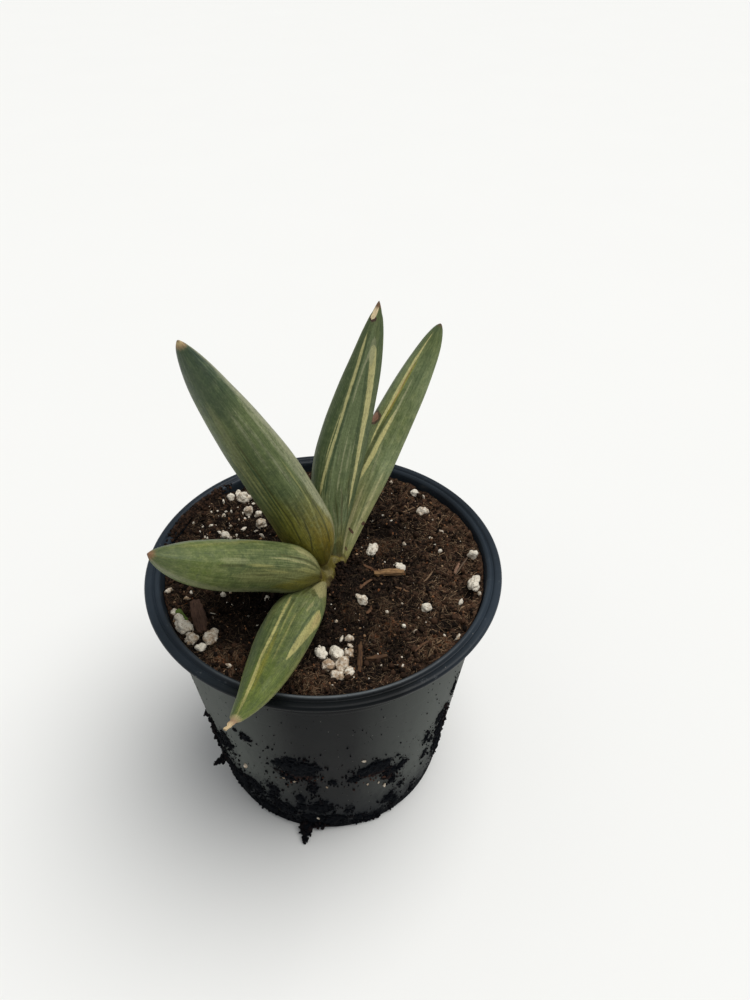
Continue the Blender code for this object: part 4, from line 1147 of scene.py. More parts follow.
def crumb_cloud(rng, centres, sizes, fineness, uneven, flatness=0.3):
    """Points and faces of many small lumps, each with its own shape and turn."""
    points, faces = ball(fineness)
    count = len(centres)
    stretch = rows_of(rng.uniform(0.8, 1.5, count), rng.uniform(0.7, 1.1, count),
                      rng.uniform(1 - 2 * flatness, 1.0, count))
    bumps = 1 + uneven * rng.normal(size=(count, len(points), 1)).clip(-1.6, 1.6)
    shapes = points[None] * bumps * stretch[:, None] * np.asarray(sizes)[:, None, None]
    shapes = np.einsum("nij,nkj->nki", random_turns(rng, count), shapes) + np.asarray(centres)[:, None]
    all_faces = faces[None] + (np.arange(count) * len(points))[:, None, None]
    return shapes.reshape(-1, 3), all_faces.reshape(-1, 3).tolist(), len(points)


def scatter(rng, count, radius):
    """Even random places on a disk."""
    reach, turn = radius * np.sqrt(rng.random(count)), rng.uniform(0, 2 * np.pi, count)
    return reach * np.cos(turn), reach * np.sin(turn)


def clear_of_grains(x, y, share):
    """Whether each place is off the larger perlite and bark."""
    clear = np.ones(len(x), bool)
    for name in PERLITE_NODES + sorted(BARK_CHIPS):
        low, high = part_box(name)
        middle, half = (low + high) / 2 / MM, (high - low) / 2 / MM
        clear &= ((x - middle.x) / half.x) ** 2 + ((y - middle.y) / half.y) ** 2 > share ** 2
    return clear


def bare_places(rng, count, radius, share):
    """Random places on the soil that are off the larger perlite and bark."""
    x, y = scatter(rng, count, radius)
    keep = clear_of_grains(x, y, share)
    return x[keep], y[keep]


def loose_finish(name, dark, light, extra, roughness=0.9):
    """Crumbs or fibres that differ in tone: a mix of two colours and some of a third."""
    paint = Finish(name)
    tone = paint.attribute("tone")
    place = paint.millimetres()
    grain = paint.noise(place, 3.5, 4, 0.6)
    pale = paint.blend(paint.attribute("clump").between(0.15, 0.8) * 0.6, light, extra)
    colour = paint.blend((tone + (grain - 0.5) * 0.7).between(0.0, 1.0), dark, pale)
    return paint.surface(Base_Color=colour, Roughness=roughness, Specular_IOR_Level=0.12,
                         Normal=paint.bump(grain, 0.15))


def crown_heap(rng):
    """Places of crumbs that lie against the crown's right side and front."""
    heaps = []
    for cx, cy, reach, height, count in CROWN_HEAPS:
        dx, dy = scatter(rng, count, reach)
        rise = height * (1 - np.hypot(dx, dy) / reach) * rng.random(count) ** 0.5
        heaps.append((cx + dx, cy + dy, soil_surface(cx + dx, cy + dy) + rise))
    return np.concatenate(heaps, axis=1)


def rim_spill(rng):
    """Places of crumbs that lie on the rim's inner edge above the bank of soil."""
    turn = np.radians(SOIL_BANK_ANGLE + rng.normal(0, 0.5 * SOIL_BANK_SPREAD, RIM_CRUMBS))
    inward = 3.0 + 2.3 * rng.random(RIM_CRUMBS) ** 0.6
    drop = np.minimum(1.0, np.interp(inward, *zip(*RIM_SECTION[5:])))
    return ring(POT_RIM_RADIUS - inward, turn, POT_HEIGHT - drop + 0.1).T


def build_soil_crumbs(settings):
    """Loose crumbs of peat all over the soil, a few of them large."""
    rng = np.random.default_rng(SEEDS["crumbs"])
    x, y = bare_places(rng, settings.crumbs, SOIL_RADIUS - 0.8, 0.85)
    sizes = 0.16 + 0.80 * rng.random(len(x)) ** 4
    lots = [(x, y, soil_surface(x, y) + 0.2 * sizes, sizes)]
    for heap, least, more in ((crown_heap, 0.30, 0.45), (rim_spill, 0.25, 0.50)):
        x, y, z = heap(rng)
        lots.append((x, y, z, least + more * rng.random(len(x)) ** 2))
    x, y, z, sizes = np.concatenate(lots, axis=1)
    points, faces, each = crumb_cloud(rng, rows_of(x, y, z), sizes, 1, 0.18)
    # The crumbs follow the soil's paleness, so they take its painted shade too.
    tone = np.repeat(rng.random(len(x)) ** 1.8 * (0.25 + 0.9 * paleness_with_shade(x, y)), each)
    clump = np.repeat(clumpiness(x, y) * rng.random(len(x)), each)
    finish = loose_finish("SoilCrumbs", settings.wet_and_shaded, settings.damp, settings.russet)
    make_piece("soil_crumbs", points, faces, finish, "soil", tone=tone, clump=clump)


def build_soil_flecks(settings):
    """Small tan chips of wood and bark all over the soil."""
    rng = np.random.default_rng(SEEDS["flecks"])
    x, y = bare_places(rng, settings.flecks, SOIL_RADIUS - 1.0, 1.0)
    sizes = 0.16 + 0.34 * rng.random(len(x)) ** 2.5
    z = soil_surface(x, y) + 0.5 * sizes
    points, faces, each = crumb_cloud(rng, rows_of(x, y, z), sizes, 1, 0.22, 0.42)
    tone = np.repeat(rng.random(len(x)) ** 1.4, each)
    clump = np.repeat(rng.random(len(x)), each)
    finish = loose_finish("WoodFlecks", settings.russet, settings.fibre, FLECK_TAN)
    make_piece("soil_flecks", points, faces, finish, "soil", tone=tone, clump=clump)


def fibre_cloud(rng, x, y, lengths, widths, lifts, bends):
    """Thin fibres that lie on the soil, each with its points in rings of three."""
    count = len(x)
    steps = np.linspace(-0.5, 0.5, FIBRE_STEPS)
    lengths, widths, lifts, bends = (part[:, None] for part in (lengths, widths, lifts, bends))
    heading = rng.uniform(0, 2 * np.pi, count)[:, None] + bends * steps
    line = np.zeros((count, FIBRE_STEPS, 3))
    for axis, (middle, wave) in enumerate(((x, np.cos(heading)), (y, np.sin(heading)))):
        run = np.cumsum(wave * lengths / (FIBRE_STEPS - 1), 1)
        line[..., axis] = middle[:, None] + run - wave[:, :1] * lengths / 2
    far = np.hypot(line[..., 0], line[..., 1])
    line[..., :2] *= np.minimum(1, (SOIL_RADIUS - 0.4) / far)[..., None]
    ground = soil_surface(line[..., 0].ravel(), line[..., 1].ravel()).reshape(count, FIBRE_STEPS)
    straight = ground[:, :1] + (ground[:, -1:] - ground[:, :1]) * (steps + 0.5)
    slope = rng.normal(0, 0.4, count)[:, None] * lengths * steps * 0.3
    line[..., 2] = np.maximum(ground, straight) + lifts * (1 - (2 * steps) ** 2) + slope.clip(-0.3, 1)
    along = np.gradient(line, axis=1)
    side = np.cross(along, [0, 0, 1.0])
    side /= np.linalg.norm(side, axis=2, keepdims=True) + 1e-9
    up = np.cross(side, along)
    up /= np.linalg.norm(up, axis=2, keepdims=True) + 1e-9
    thick = widths[..., None] / 2 * np.interp(steps, (-0.5, -0.2, 0.2, 0.5), (0.5, 1, 1, 0.4))[:, None]
    rings = [line + thick * (side * math.cos(a) + up * math.sin(a)) for a in math.pi / 2 + around(3)]
    return np.stack(rings, 2).reshape(-1, 3)


def fibre_faces(count):
    """Faces of count fibres whose rings of three points follow each other."""
    one = strip_faces(FIBRE_STEPS, 3)
    last = 3 * (FIBRE_STEPS - 1)
    one = np.array([(a, b, c) for a, b, c, _ in one] + [(a, c, d) for a, _, c, d in one]
                   + [(2, 1, 0), (last, last + 1, last + 2)])
    return (one[None] + (np.arange(count) * 3 * FIBRE_STEPS)[:, None, None]).reshape(-1, 3).tolist()


def build_soil_fibres(settings):
    """Fine peat fibres, thickest in the red-brown clumps."""
    rng = np.random.default_rng(SEEDS["fibres"])
    x, y = scatter(rng, settings.fibres, SOIL_RADIUS - 1.0)
    extra = settings.fibres // 22
    for cx, cy, _, reach in SOIL_CLUMPS:
        x = np.append(x, cx + reach * 0.5 * rng.normal(size=extra))
        y = np.append(y, cy + reach * 0.5 * rng.normal(size=extra))
    keep = clear_of_grains(x, y, 1.0) & (np.hypot(x, y) < SOIL_RADIUS - 0.8)
    x, y = x[keep], y[keep]
    count = len(x)
    lengths = 0.9 + 3.2 * rng.random(count) ** 2.2
    widths = 0.11 + 0.22 * rng.random(count) ** 2.5
    lifts = 0.05 + 0.30 * rng.random(count) ** 2
    bends = rng.normal(0, 0.5, count)
    points = fibre_cloud(rng, x, y, lengths, widths, lifts, bends)
    # The fibres follow the soil's paleness, so they take its painted shade too.
    tone = np.repeat(rng.random(count) ** 1.3 * (0.2 + 1.0 * paleness_with_shade(x, y)), 3 * FIBRE_STEPS)
    clump = clumpiness(points[:, 0], points[:, 1]) * np.repeat(rng.random(count), 3 * FIBRE_STEPS)
    finish = loose_finish("PeatFibres", settings.wet_and_shaded, settings.fibre, CLUMP_FIBRE, 0.8)
    make_piece("soil_fibres", points, fibre_faces(count), finish, "soil", tone=tone, clump=clump)


def axis_at(axis, s):
    """Points of a leaf's axis, a cubic curve, and its direction there."""
    a, b, c, d = (np.array(p, float) for p in axis)
    s = np.asarray(s, float)[:, None]
    place = (1 - s) ** 3 * a + 3 * s * (1 - s) ** 2 * b + 3 * s * s * (1 - s) * c + s ** 3 * d
    along = (1 - s) ** 2 * (b - a) + 2 * s * (1 - s) * (c - b) + s * s * (d - c)
    return place, along / np.linalg.norm(along, axis=1, keepdims=True)


def leaf_width(leaf, s):
    grow = 1 - (1 - leaf["base"]) * np.maximum(0.0, 1 - s / leaf["base_end"]) ** 2
    t = np.maximum(0.0, (s - leaf["taper_from"]) / (1 - leaf["taper_from"]))
    return leaf["width"] * grow * (1 - t ** leaf["taper"]) ** leaf["blunt"]


def skin_noise(u, v, s, round_scale, along_scale, seed):
    """Noise over a leaf's skin, in rows of one value for each point of a ring."""
    grid = np.stack(np.broadcast_arrays(round_scale * u, round_scale * v, along_scale * s), 2)
    return noise_at(grid.reshape(-1, 3), 1.0, seed).reshape(grid.shape[:2])


def leaf_rings(leaf, s, turns, seed, rib, spine):
    """Rings of points at places s along a leaf, with ribs and a crisp margin."""
    place, along = axis_at(leaf["axis"], s)
    side = np.array(leaf["channel_side"])
    up = side - along * (along @ side)[:, None]
    up /= np.linalg.norm(up, axis=1, keepdims=True)
    across = np.cross(along, up)
    half = leaf_width(leaf, s)[:, None] / 2
    s = s[:, None]
    start, narrow, blunt = spine
    dry = np.clip((s - start) / SPINE_SHRINK, 0, 1)
    half = half * (1 - (1 - narrow) * dry * dry * (3 - 2 * dry))
    past = np.clip((s - start) / (1 - start), 0, 1)
    half = np.where(past > 0, np.maximum(half, blunt * np.sqrt(1 - past ** 8)), half)
    u, v = np.cos(turns)[None], np.sin(turns)[None]
    depth = 2 * leaf["channel"] * np.minimum(1.0, 6 * s) * (1 - s * s)
    dip = np.where(v > 0, depth * np.exp(-(u / CHANNEL_SPREAD) ** 2), 0.0)
    ribs = skin_noise(u, v, s, 8, 2.2, seed)
    waves = skin_noise(u, v, s, 1.3, 7.0, seed + 5)
    margin = 0.22 * np.exp(-(np.degrees(np.arcsin(np.clip(v, -1, 1))) / 9.0) ** 2)
    shrivel = skin_noise(u, v, s, 0.8, 60.0, seed + 8) * blunt * np.minimum(1, 3 * past)
    swell = (rib * ribs + 0.14 * waves + margin) * np.clip(half / 3.0, 0, 1)
    swell = swell + shrivel * np.sqrt(1 - past ** 4)
    across_reach = u * (half + swell)
    up_reach = (v - dip) * half * leaf["thickness"] + v * swell
    return place[:, None] + across[:, None] * across_reach[..., None] + up[:, None] * up_reach[..., None]


def leaf_finish(name, look, colours):
    """Waxy leaf skin: greens along the leaf, streaks, bands, stripes and a dry tip."""
    paint = Finish(name)
    along = paint.attribute("along")
    courses = []
    for _, _, soft, course in look["bands"]:
        ends_faded = [(s, angle, half if half > 0 else -0.5 * soft) for s, angle, half in course]
        courses.append(paint.course(along, ends_faded))
    across = paint.attribute("across")
    channel = paint.attribute("channel")
    turn = math.radians(look["middle"])
    ahead = across * math.cos(turn) + channel * math.sin(turn)
    aside = channel * math.cos(turn) - across * math.sin(turn)
    seed = look["seed"]

    def field(round_scale, along_scale, shift=0.0):
        return paint.joined(across * round_scale, channel * round_scale, along * along_scale + (seed + shift))

    wobble = (paint.noise(field(5, 14), 1.0, 3, 0.6) - 0.5) * 5.0
    angle = aside.angle_from(ahead) * math.degrees(1) + look["middle"]
    streaks = paint.noise(field(13, 3.2), 1.0, 3, 0.6)
    dashes = paint.noise(field(22, 11.0, 3.0), 1.0, 4, 0.65)
    threads = paint.noise(field(34, 5.0, 6.0), 1.0, 2, 0.5)
    patches = paint.noise(field(3.4, 26.0, 9.0), 1.0, 5, 0.62)
    stipple = paint.noise(field(11, 105.0, 4.0), 1.0, 3, 0.65)
    ragged = paint.noise(field(16, 90.0, 2.0), 1.0, 4, 0.7)

    def tint(title):
        return getattr(colours, title)

    colour = paint.ramp(along, [(place, tint(title)) for place, title in look["tones"]])
    amount, spots = look["streak"], look["mottle"]
    lined = 0.3 + 0.7 * along.between(0.85, 0.35)
    colour = paint.blend(streaks.between(0.48, 0.72) * lined * amount, colour, tint("sage"))
    colour = paint.blend(dashes.between(0.50, 0.72) * lined * (amount * 0.8), colour, tint("sage"))
    colour = paint.blend(streaks.between(0.50, 0.28) * lined * amount, colour, tint("deep_green"))
    start, end, strength = look["crossbands"]
    ripple = (along * 112.0 + patches * 7.0 + angle * 0.02).sine() * 0.5 + (patches - 0.5) * 0.8
    inside = along.between(start, start + 0.12) * along.between(end, end - 0.06)
    colour = paint.blend(ripple.between(0.0, 0.7) * inside * strength, colour, tint("grey_cream"))
    colour = paint.blend(ripple.between(0.0, -0.7) * inside * strength, colour, tint("deep_green"))
    colour = paint.blend(patches.between(0.50, 0.34) * spots, colour, tint("deep_green"))
    colour = paint.blend(patches.between(0.52, 0.66) * (spots * 0.9), colour, tint(look["clouds"]))

    rough = (dashes - 0.5) * 1.1 + (stipple - 0.5) * 0.9
    uneven = 0.78 + 0.4 * dashes
    for (title, share, soft, _), (middle, half) in zip(look["bands"], courses):
        away = abs(angle + wobble * min(1.0, 0.22 * soft) - middle)
        mask = (half - away + rough * soft).between(-0.35 * soft, 0.65 * soft)
        colour = paint.blend(mask * uneven * share, colour, tint(title))

    low = along.between(0.6, 0.1)
    colour = paint.blend(threads.between(0.46, 0.30) * (0.16 + 0.24 * low), colour, tint("dark_olive"))
    colour = paint.blend(threads.between(0.56, 0.70) * 0.12, colour, tint("grey_cream"))
    colour = paint.blend(stipple.between(0.56, 0.74) * 0.16, colour, tint("grey_cream"))
    colour = paint.blend(stipple.between(0.46, 0.28) * (spots * 0.75), colour, tint("deep_green"))

    shade = 1.0 + (stipple - 0.5) * 0.8 + ((dashes - 0.5) * 1.0 + (streaks - 0.5) * 0.6) * lined
    shade = shade + (patches - 0.5) * 0.5
    colour = paint.vector("MULTIPLY", paint.scaled(colour, shade), look["light"])
    tip_start, tip_title, tip_edge = look["tip"]
    reach = along + (ragged - 0.5) * 0.04 + (dashes - 0.5) * 0.02
    tip = reach.between(tip_start - look["tip_soft"], tip_start + look["tip_soft"])
    border = tip * reach.between(tip_start + 3.2 * look["tip_soft"], tip_start + look["tip_soft"])
    dry = paint.blend(ragged.between(0.42, 0.62) * 0.7, tint(tip_title), tint(tip_edge))
    dry = paint.blend(border * 0.75, dry, tint("scar_brown"))
    colour = paint.blend(tip, colour, dry)
    colour = paint.blend(along.between(0.994, 1.0) * 0.7, colour, tint("spine_brown"))
    foot = along.between(0.03, 0.0)
    colour = paint.blend(foot * (0.2 + 0.4 * dashes), colour, tint("scar_brown"))
    gloss = 0.42 + 0.14 * patches + 0.2 * tip
    relief = 0.7 * threads + 0.4 * stipple + 0.5 * dashes
    return paint.surface(Base_Color=colour, Roughness=gloss, Normal=paint.bump(relief, 0.10),
                         Specular_IOR_Level=0.36)


def build_leaf(name, settings):
    """One thick leaf that stands for its CAD node."""
    leaf, look = LEAVES[name], LEAF_LOOKS[name]
    rings, sides = settings.rings, settings.sides
    s = 0.5 - 0.5 * np.cos(np.pi * np.arange(1, rings) / rings)
    turns = around(sides)
    body = leaf_rings(leaf, s, turns, look["seed"], settings.rib / MM, look["spine"])
    ends, along = axis_at(leaf["axis"], [0.0, 1.0])
    ends[0] -= along[0] * LEAF_BASE_DOME
    points = np.concatenate([body.reshape(-1, 3), ends])
    where = np.append(np.repeat(s, sides), [0.0, 1.0])
    across = np.append(np.tile(np.cos(turns), len(s)), [0.0, 0.0])
    channel = np.append(np.tile(np.sin(turns), len(s)), [0.0, 0.0])
    finish = leaf_finish("LeafSkin_" + name[5:], look, settings)
    make_piece("variegated_" + name, points, capped_faces(len(s), sides), finish, "leaf_skin", [name],
               along=where, across=across, channel=channel)


def crown_arm(start, end, radius, first):
    """A round arm that narrows a little and ends in a dome."""
    start, end = Vector(start), Vector(end)
    way = (end - start).normalized()
    aside = way.orthogonal().normalized()
    turn = Matrix((aside, way.cross(aside), way)).transposed()
    points = []
    for share, scale in ARM_TAPER:
        for angle in around(CROWN_SIDES):
            spoke = Vector((math.cos(angle), math.sin(angle), 0)) * radius * scale
            points.append(start + turn @ (spoke + Vector((0, 0, share * (end - start).length))))
    return points + [start, end], capped_faces(len(ARM_TAPER), CROWN_SIDES, first)


def crown_finish(settings):
    """Yellow-green tissue with pale papery streaks and brown at the soil."""
    paint = Finish("StemTissue")
    place = paint.millimetres()
    height = paint.parts(place)[2]
    fibres = paint.noise(paint.stretched(place, (1.0, 1.0, 0.22)), 1.6, 4, 0.6)
    blotch = paint.noise(place, 0.5, 3, 0.6)
    colour = paint.blend(fibres.between(0.50, 0.72), settings.stem, settings.sheath)
    colour = paint.blend(blotch.between(0.5, 0.34) * 0.7, colour, STEM_SHADE)
    low = (height + (fibres - 0.5) * 5.0).between(88.6, 86.4)
    colour = paint.blend(low, colour, STEM_FOOT)
    return paint.surface(Base_Color=colour, Roughness=0.5 + 0.2 * fibres, Normal=paint.bump(fibres, 0.25))


def build_crown(settings):
    points, faces = [], []
    for arm in (CROWN_STEM, *CROWN_ARMS):
        more_points, more_faces = crown_arm(*arm, len(points))
        points += more_points
        faces += more_faces
    crown = make_piece("stem_base", [p[:] for p in points], faces, crown_finish(settings), "crown_tissue",
                       ["crown"])
    remesh = crown.modifiers.new("fuse", "REMESH")
    remesh.mode = "VOXEL"
    remesh.voxel_size = CROWN_VOXEL * MM
    remesh.use_smooth_shade = True
    smooth = crown.modifiers.new("soften", "SMOOTH")
    smooth.iterations = CROWN_SOFTENING
    apply_modifiers(crown)


def refined(node, levels, simple):
    """A finer copy of a CAD node's mesh: points in millimetres, normals and faces."""
    bm = bmesh.new()
    bm.from_mesh(node.data)
    bmesh.ops.remove_doubles(bm, verts=bm.verts, dist=2e-5)
    bmesh.ops.recalc_face_normals(bm, faces=bm.faces)
    mesh = bpy.data.meshes.new("refined")
    bm.to_mesh(mesh)
    bm.free()
    item = add_object("refined", mesh)
    modifier = item.modifiers.new("finer", "SUBSURF")
    modifier.subdivision_type = "SIMPLE" if simple else "CATMULL_CLARK"
    modifier.levels = levels
    apply_modifiers(item)
    points = np.array([v.co[:] for v in item.data.vertices]) / MM
    normals = np.array([v.normal[:] for v in item.data.vertices])
    faces = [tuple(p.vertices) for p in item.data.polygons]
    bpy.data.objects.remove(item)
    return points, normals, faces


def level_way(degrees):
    """The way that an angle points, as x and y."""
    return np.array([math.cos(math.radians(degrees)), math.sin(math.radians(degrees))])


def perlite_finish(settings):
    """Foamed white glass: rough, with pits and soil stains."""
    paint = Finish("Perlite")
    place = paint.millimetres()
    stain = paint.noise(place, 0.8, 5, 0.65)
    pits = paint.cells(place, 1.7)
    grain = paint.noise(place, 5.0, 3, 0.6)
    tone = paint.attribute("tone")
    stained = (stain + (tone - 0.5) * 0.3).between(0.46, 0.68)
    colour = paint.blend(stained * 0.9, settings.perlite, settings.stained)
    pitted = (0.21 - pits + (grain - 0.5) * 0.24).between(0.0, 0.06)
    colour = paint.blend(pitted * 0.8, colour, PIT_BROWN)
    colour = paint.blend(grain.between(0.62, 0.8) * 0.5, colour, GRAIN_SPOT)
    relief = pits.between(0.0, 0.5) + 0.4 * grain
    return paint.surface(Base_Color=colour, Roughness=0.92, Specular_IOR_Level=0.3,
                         Normal=paint.bump(relief, 0.14))


def build_perlite(name, finish, rng):
    """One large grain: a finer, pitted and knobbly copy of its CAD node."""
    points, normals, faces = refined(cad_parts[name], 2, False)
    middle = points.mean(axis=0)
    knobs = cell_domes(points, 0.62, rng.uniform(0, 50))
    pits = noise_at(points, 1.6, 3.0)
    facets = noise_at(points, 0.45, rng.uniform(0, 50))
    points = points + normals * (0.14 + 0.55 * (knobs - 0.45) + 0.34 * pits + 0.55 * facets)[:, None]
    turn, stretch = GRAIN_STRETCH.get(name, (0.0, 1.0))
    way = level_way(turn)
    offset = (points - middle) * GRAIN_SCALE
    points = middle + offset + np.outer(offset[:, :2] @ way * (stretch - 1), (*way, 0.0))
    points[:, 2] = np.maximum(points[:, 2], middle[2] - GRAIN_FOOT)
    make_piece(name.replace("perlite", "perlite_grain"), points, faces, finish, "perlite", [name],
               tone=np.full(len(points), rng.random()))


def build_small_perlite(finish):
    """Small grains and specks between the large ones."""
    rng = np.random.default_rng(SEEDS["small_perlite"])
    places = list(SMALL_PERLITE)
    for cx, cy, reach, count, size in PERLITE_SPECKS:
        x, y = scatter(rng, count, reach)
        places += list(zip(cx + x, cy + y, size * rng.uniform(0.5, 1.15, count)))
    x, y, sizes = np.array(places).T
    keep = (np.arange(len(x)) < len(SMALL_PERLITE)) | clear_of_grains(x, y, 1.15)
    keep &= np.hypot(x, y) < SOIL_RADIUS - 0.8
    x, y, sizes = x[keep], y[keep], sizes[keep]
    z = soil_surface(x, y) + 0.4 * sizes
    points, faces, each = crumb_cloud(rng, rows_of(x, y, z), sizes, 2, 0.20, 0.42)
    tone = np.repeat(rng.random(len(x)), each)
    make_piece("perlite_small", points, faces, finish, "perlite", tone=tone)


def bark_finish(name, outer, inner, settings):
    """Split bark: grain lines along it, paler where it is worn."""
    paint = Finish(name)
    run = paint.attribute("along")
    over = paint.attribute("across")
    place = paint.millimetres()
    height = paint.parts(place)[2]
    lines = paint.noise(paint.joined(run * 0.22, over * 2.6, height * 2.2), 1.0, 5, 0.65)
    patch = paint.noise(place, 0.5, 4, 0.6)
    colour = paint.blend(lines.between(0.40, 0.64), outer, inner)
    colour = paint.blend(patch.between(0.50, 0.66) * 0.5, colour, settings.bark)
    colour = paint.blend(lines.between(0.40, 0.30), colour, BARK_CRACK)
    return paint.surface(Base_Color=colour, Roughness=0.86, Specular_IOR_Level=0.3,
                         Normal=paint.bump(lines, 0.3))


def build_bark(name, finish):
    """One chip: a finer copy of its CAD node, split along the grain."""
    (cx, cy), turn = BARK_CHIPS[name]
    points, normals, faces = refined(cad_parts[name], 3, True)
    way = level_way(turn)
    offset = points[:, :2] - (cx, cy)
    run, over = offset @ way, offset @ np.array([-way[1], way[0]])
    split = noise_at(rows_of(run * 0.25, over * 2.2, points[:, 2] * 2.2), 1.0, cx)
    chips = noise_at(points, 0.9, cy)
    points = points + normals * (0.26 * split + 0.26 * chips)[:, None]
    make_piece("split_" + name, points, faces, finish, "bark", [name], along=run, across=over)


def sliver_finish():
    """Split wood and a scrap of leaf, each with its own colour."""
    paint = Finish("Slivers")
    place = paint.millimetres()
    run = paint.attribute("along")
    grain = paint.noise(paint.joined(run * 0.4, 3.0 * paint.attribute("over"), 0.0), 1.0, 4, 0.6)
    colour = paint.node("ShaderNodeAttribute", {"attribute_name": "colour"}, output="Color")
    colour = paint.blend(grain.between(0.55, 0.35) * 0.6, colour, SLIVER_CRACK)
    colour = paint.blend(paint.noise(place, 1.2, 4, 0.6).between(0.55, 0.7) * 0.5, colour, SLIVER_STAIN)
    return paint.surface(Base_Color=colour, Roughness=0.85, Specular_IOR_Level=0.3,
                         Normal=paint.bump(grain, 0.2))


def build_slivers():
    """Thin flat slivers of wood and a scrap of leaf that lie on the soil."""
    rng = np.random.default_rng(SEEDS["slivers"])
    points, faces, colours, runs, overs = [], [], [], [], []
    steps, sides = SLIVER_STEPS, SLIVER_SIDES
    for (ax, ay), (bx, by), width, colour in SLIVERS:
        share = np.linspace(0, 1, steps)
        length = math.hypot(bx - ax, by - ay)
        way = np.array([(bx - ax) / length, (by - ay) / length])
        bend = 0.05 * length * rng.normal() * np.sin(np.pi * share)
        x, y = ax + (bx - ax) * share - way[1] * bend, ay + (by - ay) * share + way[0] * bend
        ground = soil_surface(x, y)
        z = np.maximum(ground, ground.mean()) + 0.3
        reach = width / 2 * np.sqrt(np.clip(1 - (2 * share - 1) ** 6, 0.02, 1))
        reach = reach * rng.uniform(0.75, 1.15, steps)
        first = len(points)
        for i in range(steps):
            for turn in around(sides):
                out, up = reach[i] * math.cos(turn), 0.4 * reach[i] * math.sin(turn)
                points.append((x[i] - way[1] * out, y[i] + way[0] * out, z[i] + up))
                colours.append(screen(*colour))
                runs.append(share[i] * length)
                overs.append(out)
        faces += strip_faces(steps, sides, first)
        faces.append(tuple(first + k for k in range(sides))[::-1])
        faces.append(tuple(first + (steps - 1) * sides + k for k in range(sides)))
    piece = make_piece("wood_slivers", points, faces, sliver_finish(), "bark", along=runs, over=overs)
    layer = piece.data.attributes.new("colour", "FLOAT_COLOR", "POINT")
    layer.data.foreach_set("color", [part for colour in colours for part in (*colour, 1.0)])


def wall_point(angle, height, out=0.0):
    """A point on the pot's outer wall, standing out from it."""
    return (*level_way(angle) * (wall_radius(height) + out), height)


def stuck_finish(settings):
    """Soil stuck on the pot: nearly black where wet, brown where dry."""
    paint = Finish("StuckSoil")
    place = paint.millimetres()
    tone = paint.attribute("tone")
    grain = paint.noise(place, 2.4, 5, 0.65)
    dry = (tone - 0.08 + (grain - 0.5) * 0.6).between(0.0, 1.0)
    colour = paint.blend(dry, settings.wet_soil, settings.dry_soil)
    return paint.surface(Base_Color=colour, Roughness=0.7 + 0.25 * grain, Specular_IOR_Level=0.06,
                         Normal=paint.bump(grain, 0.3))


def is_blot(height, half_width):
    """Whether a smear is a wide one at middle height, which is dry in its lower half."""
    return 30 < height < 50 and half_width > 3.5


def build_wall_crust(settings, finish):
    """Thin ragged crusts of soil on the wall, closed and sunk a little into it."""
    crust = settings.crust / MM
    points, faces, tones = [], [], []
    for number, smear in enumerate(WALL_SMEARS):
        angle, height, half_width, half_height, strength = smear
        columns, rows = (max(6, int(2 * CRUST_REACH * half / CRUST_CELL)) for half in smear[2:4])
        span = math.degrees(CRUST_REACH * half_width / wall_radius(height))
        grid = []
        for i in range(rows + 1):
            z = height + (2 * i / rows - 1) * CRUST_REACH * half_height
            for k in range(columns + 1):
                turn = angle + (2 * k / columns - 1) * span
                grid.append(wall_point(turn, min(max(z, 0.5), POT_SHOULDER_Z - 1)))
        grid = np.array(grid)
        amount, above = smear_at(grid, smear_warps(grid), smear)
        ragged = noise_at(grid, 0.70, 1.7) * 0.50 + noise_at(grid, 1.9, 8.0) * 0.50
        thick = amount + ragged - 0.38
        lumps = 0.35 + 0.65 * cell_domes(grid, 0.9, number)
        unit = grid * [1, 1, 0] / np.hypot(grid[:, 0], grid[:, 1])[:, None]
        rise = crust * np.clip(thick * 2.2, 0, 1) * lumps
        outer = grid + unit * (rise - 0.05)[:, None]
        solid_patch(points, faces, outer, grid - unit * 0.4, rows, columns, thick > 0)
        dry = 0.1 * ragged
        if is_blot(height, half_width) and strength > 0.85:
            dry = 0.5 * ragged - 0.7 * above
        tones.append(np.tile(np.clip(dry - 0.3, 0, 0.5), 2))
    points, tones = np.concatenate(points), np.concatenate(tones)
    used = sorted({i for face in faces for i in face})
    renumbered = {old: new for new, old in enumerate(used)}
    faces = [tuple(renumbered[i] for i in face) for face in faces]
    make_piece("wall_soil_crust", points[used], faces, finish, "soil", tone=tones[used])


def solid_patch(points, faces, outer, inner, rows, columns, keep):
    """Adds the kept cells of a grid as a closed sheet between two skins."""
    first = sum(len(p) for p in points)
    points += [outer, inner]
    under = len(outer)
    keep = keep.reshape(rows + 1, columns + 1)
    cells = {(i, k) for i in range(rows) for k in range(columns) if keep[i:i + 2, k:k + 2].all()}
    for i, k in cells:
        a = first + i * (columns + 1) + k
        b, c, d = a + 1, a + columns + 2, a + columns + 1
        faces.append((a, b, c, d))
        faces.append((a + under, d + under, c + under, b + under))
        edges = ((a, b, i - 1, k), (b, c, i, k + 1), (c, d, i + 1, k), (d, a, i, k - 1))
        for p, q, near_i, near_k in edges:
            if (near_i, near_k) not in cells:
                faces.append((q, p, p + under, q + under))


